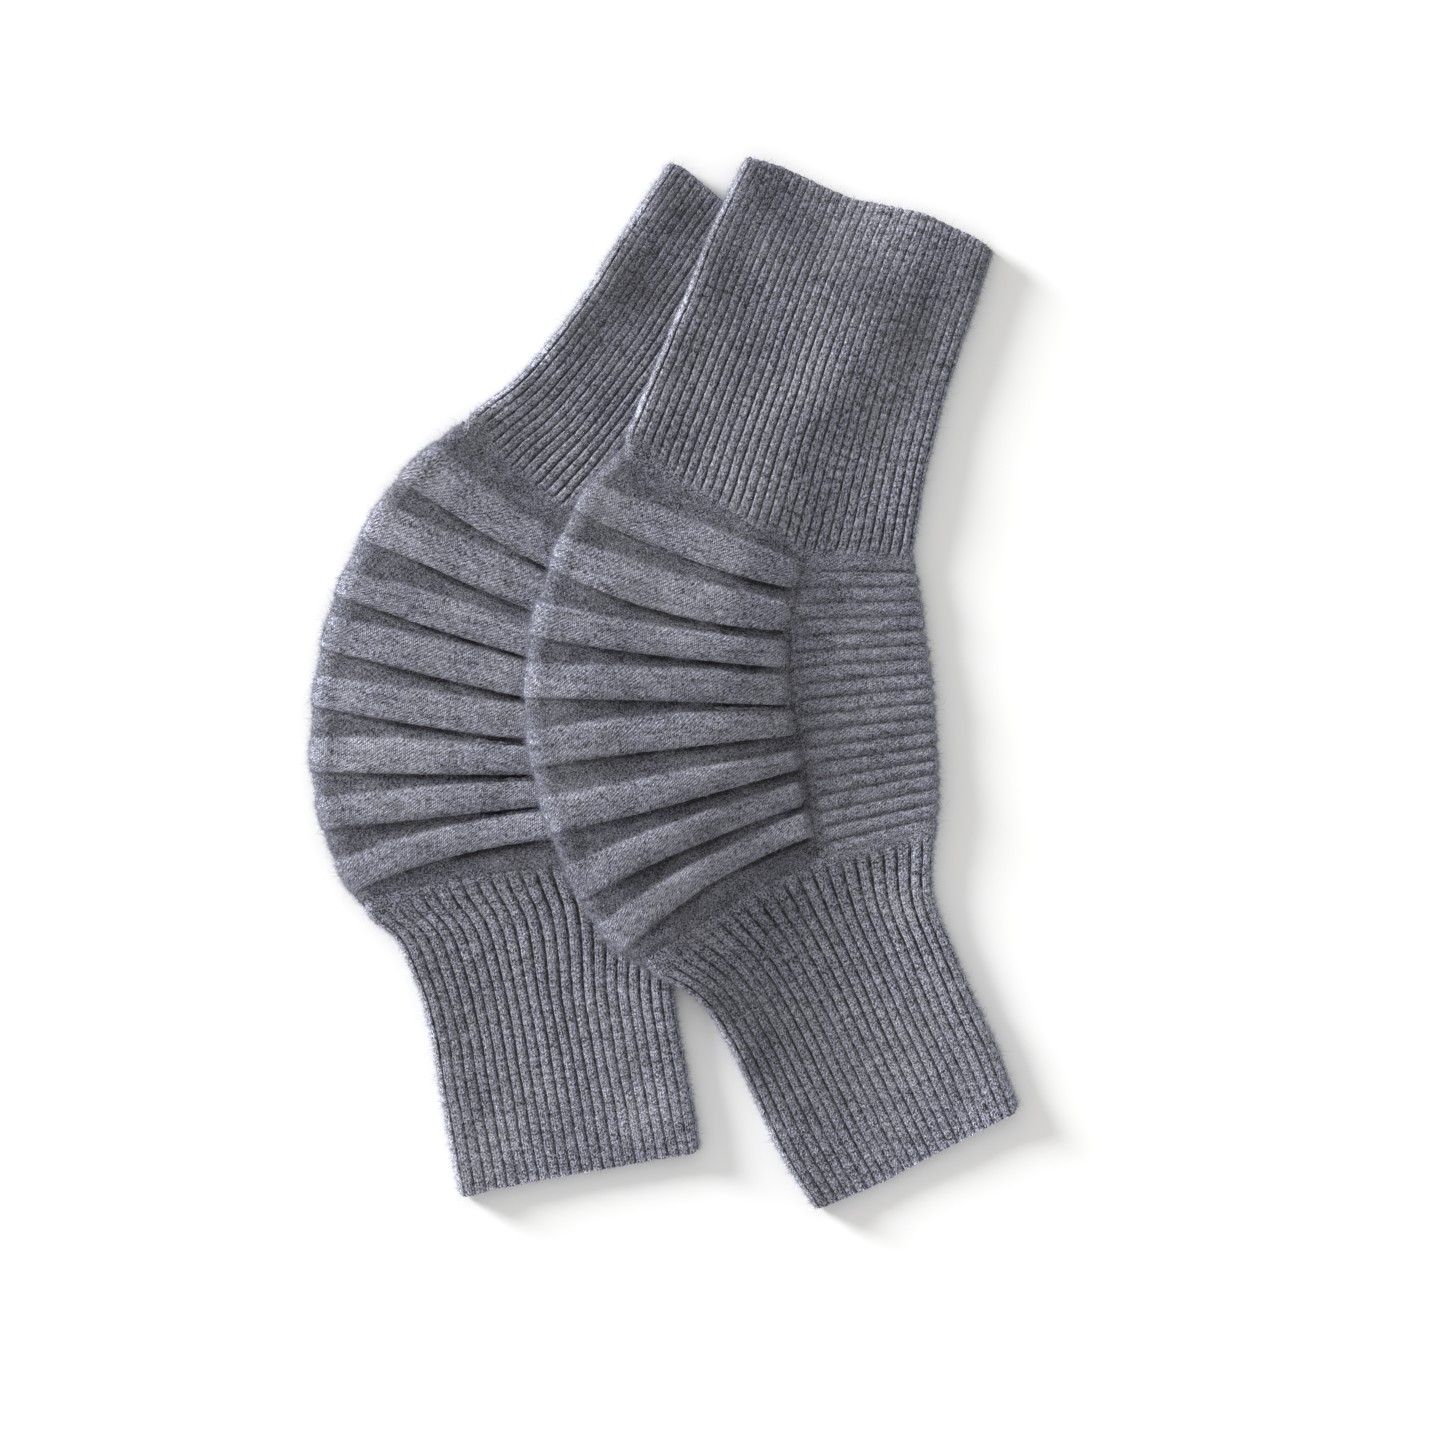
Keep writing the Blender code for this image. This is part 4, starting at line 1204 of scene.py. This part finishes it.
def wool(name, columns_each, slant, lean, flecks_across, flecks_along, streak_across, lightness,
         stitch_contrast, leg_flecks, loose_flecks, groove=0.0, faint_at_mouth=1.0):
    """Wool for one kind of knitting. columns_each is how many stitch columns one unit of the
    panel's own column count holds, slant the V of a stitch and lean how far all its legs go
    one way, streak_across how many colour streaks it is wide, groove the width of the line of
    painted shade between two units and faint_at_mouth its strength at the mouth."""
    made, shader, n = new_material(name, SHADER)
    place = n.add("ShaderNodeTexCoord").outputs["Object"]
    uv = n.add("ShaderNodeUVMap", {"uv_map": "stitches"}).outputs[0]
    parts = n.add("ShaderNodeSeparateXYZ", None, i0=uv).outputs
    hollow, plain, tone = n.attribute("hollow"), n.attribute("plain"), n.attribute("tone")
    astray = n.minus(n.noise(place, 240.0, 2.0, 0.6), 0.5)
    drawn = n.add(
        "ShaderNodeGroup", {"node_tree": stitch},
        **{"Column": n.times(parts["X"], columns_each), "Row": parts["Y"],
           "Slant": slant, "Lean": lean, "Shift": n.times(astray, 0.5),
           "Flecks Across": flecks_across, "Flecks Along": flecks_along},
    ).outputs
    fluff = n.noise(place, 900.0, 3.0, 0.65)
    knit = n.times(drawn["Height"], n.keep(plain, 0.6))
    bumps = n.plus(n.times(knit, KNIT_HEIGHT), n.times(fluff, FLUFF_HEIGHT))
    if groove:
        line = groove_shade_line(n, parts, place, plain, astray, groove, faint_at_mouth)
        # Painted shade in a groove: the dark line, or about a third of the groove's own mask
        hollow = n.math("MAXIMUM", n.times(hollow, 0.35), line)
        bumps = n.minus(bumps, n.times(line, GROOVE_HEIGHT))
    in_legs = n.times(n.keep(plain, 0.8), leg_flecks)
    at_random = n.plus(n.times(plain, 3.0), loose_flecks)
    shade = n.plus(1.0 - 0.5 * stitch_contrast, n.times(knit, stitch_contrast))
    shade = n.times(shade, n.keep(plain, 0.10))
    shade = n.times(n.times(shade, tone), lightness)
    yarnwise = n.add(
        "ShaderNodeCombineXYZ", None, X=n.times(parts["X"], streak_across),
        Y=n.times(n.plus(parts["Y"], n.times(astray, 2.0)), 0.55),
    ).outputs[0]
    coloured = n.add(
        "ShaderNodeGroup", {"node_tree": yarn},
        **{"Place": place, "Along Leg": drawn["Along Leg"], "Along Yarn": yarnwise,
           "Lightness": shade, "Hollow": hollow, "Leg Flecks": in_legs, "Loose Flecks": at_random},
    ).outputs["Colour"]
    n.feed(shader["Base Color"], coloured)
    bump = n.add("ShaderNodeBump", None, Height=bumps, Strength=0.9, Distance=1.0).outputs[0]
    n.feed(shader["Normal"], bump)
    return made


print("wool ready")

# %% The four wools
thigh_ribbed = wool(
    "thigh_rib_heather", columns_each=1.0, slant=0.8, lean=0.6, flecks_across=6.5,
    flecks_along=0.75, streak_across=0.45, lightness=0.98, stitch_contrast=0.4, leg_flecks=4.5,
    loose_flecks=2.8, groove=0.15, faint_at_mouth=0.45,
)
calf_ribbed = wool(
    "calf_rib_heather", columns_each=2.0, slant=0.7, lean=-0.4, flecks_across=3.2,
    flecks_along=1.1, streak_across=0.5, lightness=1.0, stitch_contrast=0.4, leg_flecks=4.6,
    loose_flecks=4.0, groove=0.175, faint_at_mouth=0.8,
)
KNEE_STITCH = dict(
    columns_each=1.0, slant=0.15, lean=0.8, flecks_across=1.2, flecks_along=2.2, streak_across=0.16
)
welted = wool(
    "welted_heather", **KNEE_STITCH, lightness=1.04, stitch_contrast=0.95, leg_flecks=4.6,
    loose_flecks=2.2,
)
ridged = wool(
    "ridged_heather", **KNEE_STITCH, lightness=1.08, stitch_contrast=0.8, leg_flecks=4.4,
    loose_flecks=2.6,
)
print("wool materials:", thigh_ribbed.name, calf_ribbed.name, welted.name, ridged.name)

# %% [markdown]
# ## Making the cloth
#
# Each panel starts as a flat grid with one corner for every point worked out above. Its
# corners are moved to their places, and the Solidify modifier gives the cloth its thickness
# inwards, as a knitted fabric has. The two sides of a cuff come together on top of its front
# fold. They aren't merged, because the unevenness moves each its own way: on the outside
# they lie within a millimetre of each other, in places a little apart. The stitch count
# goes into a UV map, and the grooves, the purl side and the tone into attributes, for the
# materials. The tone carries painted light and shade, and the folds and mouths are painted
# paler, as a painted bright rim.

# %% Cloth from a panel
THICKNESS = 1.25
CREASE_ANGLE = np.radians(68.0)


def cloth(name, panel, tone, material):
    rows, columns = panel.grid.shape[:2]
    bpy.ops.object.select_all(action="DESELECT")
    bpy.ops.mesh.primitive_grid_add(x_subdivisions=columns - 1, y_subdivisions=rows - 1, size=1.0)
    piece = bpy.context.object
    piece.name = piece.data.name = name
    mesh = piece.data
    points = panel.grid.copy()
    points[..., :2] -= CENTRE
    mesh.vertices.foreach_set("co", (points[::-1] * MM).astype(np.float32).ravel())
    corner = np.empty(len(mesh.loops), np.int32)
    mesh.loops.foreach_get("vertex_index", corner)
    uv = mesh.uv_layers[0] if mesh.uv_layers else mesh.uv_layers.new()
    uv.name = "stitches"
    stitches = panel.stitches[::-1].reshape(-1, 2)[corner]
    uv.data.foreach_set("uv", stitches.astype(np.float32).ravel())
    for label, values in (("hollow", panel.hollow), ("plain", panel.plain), ("tone", tone)):
        values = values[::-1].astype(np.float32).ravel()
        mesh.attributes.new(label, "FLOAT", "POINT").data.foreach_set("value", values)
    mesh.materials.append(material)
    wall = piece.modifiers.new("thickness", "SOLIDIFY")
    wall.thickness = THICKNESS * MM
    wall.offset = -1.0
    bpy.ops.object.modifier_apply(modifier=wall.name)
    settled = np.empty(len(mesh.vertices) * 3, np.float32)
    mesh.vertices.foreach_get("co", settled)
    settled[2::3] = np.maximum(settled[2::3], 0.0)
    mesh.vertices.foreach_set("co", settled)
    bpy.ops.object.shade_smooth_by_angle(angle=CREASE_ANGLE)
    print(name, "has", len(piece.data.polygons), "faces")
    return piece


print("cloth is", THICKNESS, "mm thick")

# %% The eight panels
# The last field says how much paler the folds and mouths are painted, as a painted bright rim
Finish = namedtuple("Finish", "material slot rim_pale")
FINISH = {
    "thigh_cuff": Finish(thigh_ribbed, "rib_wool", rim_pale=0.7),
    "knee_front": Finish(welted, "welt_wool", rim_pale=0.85),
    "knee_back": Finish(ridged, "ridge_wool", rim_pale=0.65),
    "calf_cuff": Finish(calf_ribbed, "rib_wool", rim_pale=0.95),
}
PAINTED_SPOT_STRENGTH = 2.2
pieces = {}
for warmer, panels in (("under", under_panels), ("over", over_panels)):
    for kind, panel in panels.items():
        finish = FINISH[kind]
        # Painted light and shade: the listed spots make the tone lighter or darker
        tone = marked(panel.grid, PAINTED_LIGHT_AND_SHADE[warmer], 1.0) ** PAINTED_SPOT_STRENGTH
        # Painted light: folds and mouths are made paler, as a bright rim
        tone = tone * (1.0 + finish.rim_pale * panel.rim)
        made = cloth(f"{warmer}_{kind}_knit", panel, tone, finish.material)
        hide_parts(f"{warmer}_{kind}")
        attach(made, "root")
        pieces[f"{warmer}_{kind}"] = made

# %% [markdown]
# ## Loose fibres
#
# Brushed wool is never smooth: short fibres stand out of it all over, and against the light
# they draw a soft pale rim round the pair. There are two kinds. Down is short and straight,
# a spike with three sides, and there is a great deal of it on the folds and at the mouths.
# A stray is longer and bent. Few grow on the underside, where nobody looks, and none in the
# depth of a groove, where a fibre would hide the dark line.

# %% One spike of down and one stray
bpy.ops.object.select_all(action="DESELECT")
bpy.ops.mesh.primitive_cone_add(
    vertices=3, radius1=1.0, radius2=0.0, depth=1.0, end_fill_type="NOTHING", location=(0, 0, 0.5)
)
spike = bpy.context.object
bpy.ops.object.transform_apply(location=True)
bpy.ops.mesh.primitive_circle_add(vertices=3, radius=1.0)
needle = bpy.context.object
bpy.ops.object.mode_set(mode="EDIT")
bpy.ops.mesh.select_all(action="SELECT")
bpy.ops.mesh.extrude_region_move(TRANSFORM_OT_translate={"value": (0.0, 0.0, 0.5)})
bpy.ops.transform.resize(value=(0.8, 0.8, 1.0))
bpy.ops.mesh.extrude_region_move(TRANSFORM_OT_translate={"value": (0.0, 0.0, 0.5)})
bpy.ops.mesh.merge(type="CENTER")
bpy.ops.object.mode_set(mode="OBJECT")
Fibre = namedtuple("Fibre", "corners faces radius length")


def fibre_from(made, radius, length):
    corners = np.array([corner.co for corner in made.data.vertices])
    faces = [tuple(face.vertices) for face in made.data.polygons]
    bpy.data.objects.remove(made)
    return Fibre(corners, faces, radius, length)


down = fibre_from(spike, radius=0.065, length=1.5)
stray = fibre_from(needle, radius=0.045, length=2.9)
print("faces of a spike and a stray:", len(down.faces), len(stray.faces))

# %% Fibre material
fibre_wool, shader, n = new_material("loose_fibre", {"Roughness": 0.7, "Specular IOR Level": 0.3})
fibre_place = n.add("ShaderNodeTexCoord").outputs["Object"]
fibre_tone = n.remap(n.noise(fibre_place, 700.0, 1.0), 0.35, 0.65, 0.0, 1.0)
n.feed(shader["Base Color"], n.blend(fibre_tone, grey(0.15), grey(0.36)))
print("fibre material:", fibre_wool.name)

# %% Where fibres start
ON_RIM, ON_TOP, UNDERNEATH = 60.0, 1.2, 0.03  # how crowded they are


def chance(panel):
    """How likely a fibre is to start in each cell of a panel: its size times the crowding."""
    along, across = np.diff(panel.grid, axis=0)[:, :-1], np.diff(panel.grid, axis=1)[:-1]
    size = np.linalg.norm(np.cross(along, across), axis=2)
    up = out_of(panel.grid)[..., 2]
    crowding = ON_RIM * panel.rim**2 * (up > -0.5) + np.where(up > 0.0, ON_TOP, UNDERNEATH)
    return size * (crowding * (1.0 - panel.hollow))[:-1, :-1]


def fibre_starts(panels, count, draw):
    """Where about count fibres start on these panels, and which way the cloth faces there."""
    chances = [chance(panel) for panel in panels]
    total = sum(share.sum() for share in chances)
    starts, facing = [], []
    for panel, share in zip(panels, chances):
        grid = panel.grid
        number = int(round(count * share.sum() / total))
        chosen = draw.choice(share.size, number, p=share.ravel() / share.sum())
        row, column = np.unravel_index(chosen, share.shape)
        a, b = draw.random((2, number, 1))
        near = grid[row, column] * (1 - b) + grid[row, column + 1] * b
        far = grid[row + 1, column] * (1 - b) + grid[row + 1, column + 1] * b
        starts.append(near * (1 - a) + far * a)
        facing.append(out_of(grid)[row, column])
    return np.concatenate(starts), np.concatenate(facing)


print("fibres are", ON_RIM / ON_TOP, "times as crowded on a fold as on the top")

# %% Fibres over a panel
LEAN, CURL = (0.2, 2.4), (-0.6, 0.6)  # the least and the most
SHORTEST, LONGEST = 0.35, 2.4  # times the usual length
ROOT_DEPTH, LOWEST = 0.25, 0.05  # below the cloth, and above the table


def unit(vectors):
    return vectors / np.linalg.norm(vectors, axis=1, keepdims=True)


def grown(fibre, start, facing, draw):
    """Corners and faces of one fibre at each start, each leaning and bowed its own way."""
    number = len(start)
    lean = draw.standard_normal((number, 3))
    lean = unit(lean - (lean * facing).sum(axis=1, keepdims=True) * facing)
    up = unit(facing + lean * draw.uniform(*LEAN, (number, 1)))
    side = unit(np.cross(up, lean))
    bow = np.cross(side, up)
    length = fibre.length * draw.gamma(5.0, 0.2, (number, 1)).clip(SHORTEST, LONGEST)
    curl = draw.uniform(*CURL, (number, 1)) * length
    start = start - facing * ROOT_DEPTH
    corners = []
    for x, y, z in fibre.corners:
        middle = start + up * length * z + side * curl * (z * (1 - z) * 4) + bow * curl * z * z
        corners.append(middle + (side * x + bow * y) * fibre.radius)
    points = np.stack(corners, axis=1).reshape(-1, 3)
    points[:, 2] = np.maximum(points[:, 2], LOWEST)
    first = np.arange(number) * len(fibre.corners)
    faces = [tuple(int(k + offset) for k in face) for offset in first for face in fibre.faces]
    return points, faces


def fuzz(name, panels, amounts, seed):
    """One piece of loose fibres on these panels, down and strays."""
    points, faces = np.empty((0, 3)), []
    for fibre, count, later in zip((down, stray), amounts, (0, 5)):
        draw = np.random.default_rng(seed + later)
        more_points, more_faces = grown(fibre, *fibre_starts(panels, count, draw), draw)
        faces += [tuple(k + len(points) for k in face) for face in more_faces]
        points = np.concatenate([points, more_points])
    points[:, :2] -= CENTRE
    mesh = bpy.data.meshes.new(name)
    mesh.from_pydata((points * MM).tolist(), [], faces)
    mesh.materials.append(fibre_wool)
    piece = bpy.data.objects.new(name, mesh)
    bpy.context.collection.objects.link(piece)
    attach(piece, "root")
    print(name, "has", len(faces), "faces")
    return piece


# %% Fibres on both warmers
KNEE_AMOUNTS, CUFF_AMOUNTS = (19000, 5000), (13000, 1600)  # of down and of strays
fuzz_of = {name: [] for name in pieces}
for warmer, panels, seed in (("under", under_panels, 50), ("over", over_panels, 60)):
    knee = [panels["knee_front"], panels["knee_back"]]
    cuffs = [panels["thigh_cuff"], panels["calf_cuff"]]
    knee_fuzz = fuzz(f"{warmer}_knee_fuzz", knee, KNEE_AMOUNTS, seed)
    cuff_fuzz = fuzz(f"{warmer}_cuff_fuzz", cuffs, CUFF_AMOUNTS, seed + 1)
    fuzz_of[f"{warmer}_knee_front"] = [knee_fuzz]
    fuzz_of[f"{warmer}_thigh_cuff"] = [cuff_fuzz]

# %% [markdown]
# ## How high each panel lies
#
# A sheet of cloth can't grow when it is laid down. The cuffs go all round the tube. The
# knee front holds more cloth than it covers, because each welt takes up a tuck. Each
# panel's lowest and highest point are printed here.

# %% Heights of the panels
for name, piece in pieces.items():
    warmer, kind = name.split("_", 1)
    heights = [corner.co.z / MM for corner in piece.data.vertices]
    print(piece.name, "from", round(min(heights), 2), "to", round(max(heights), 2), "mm")
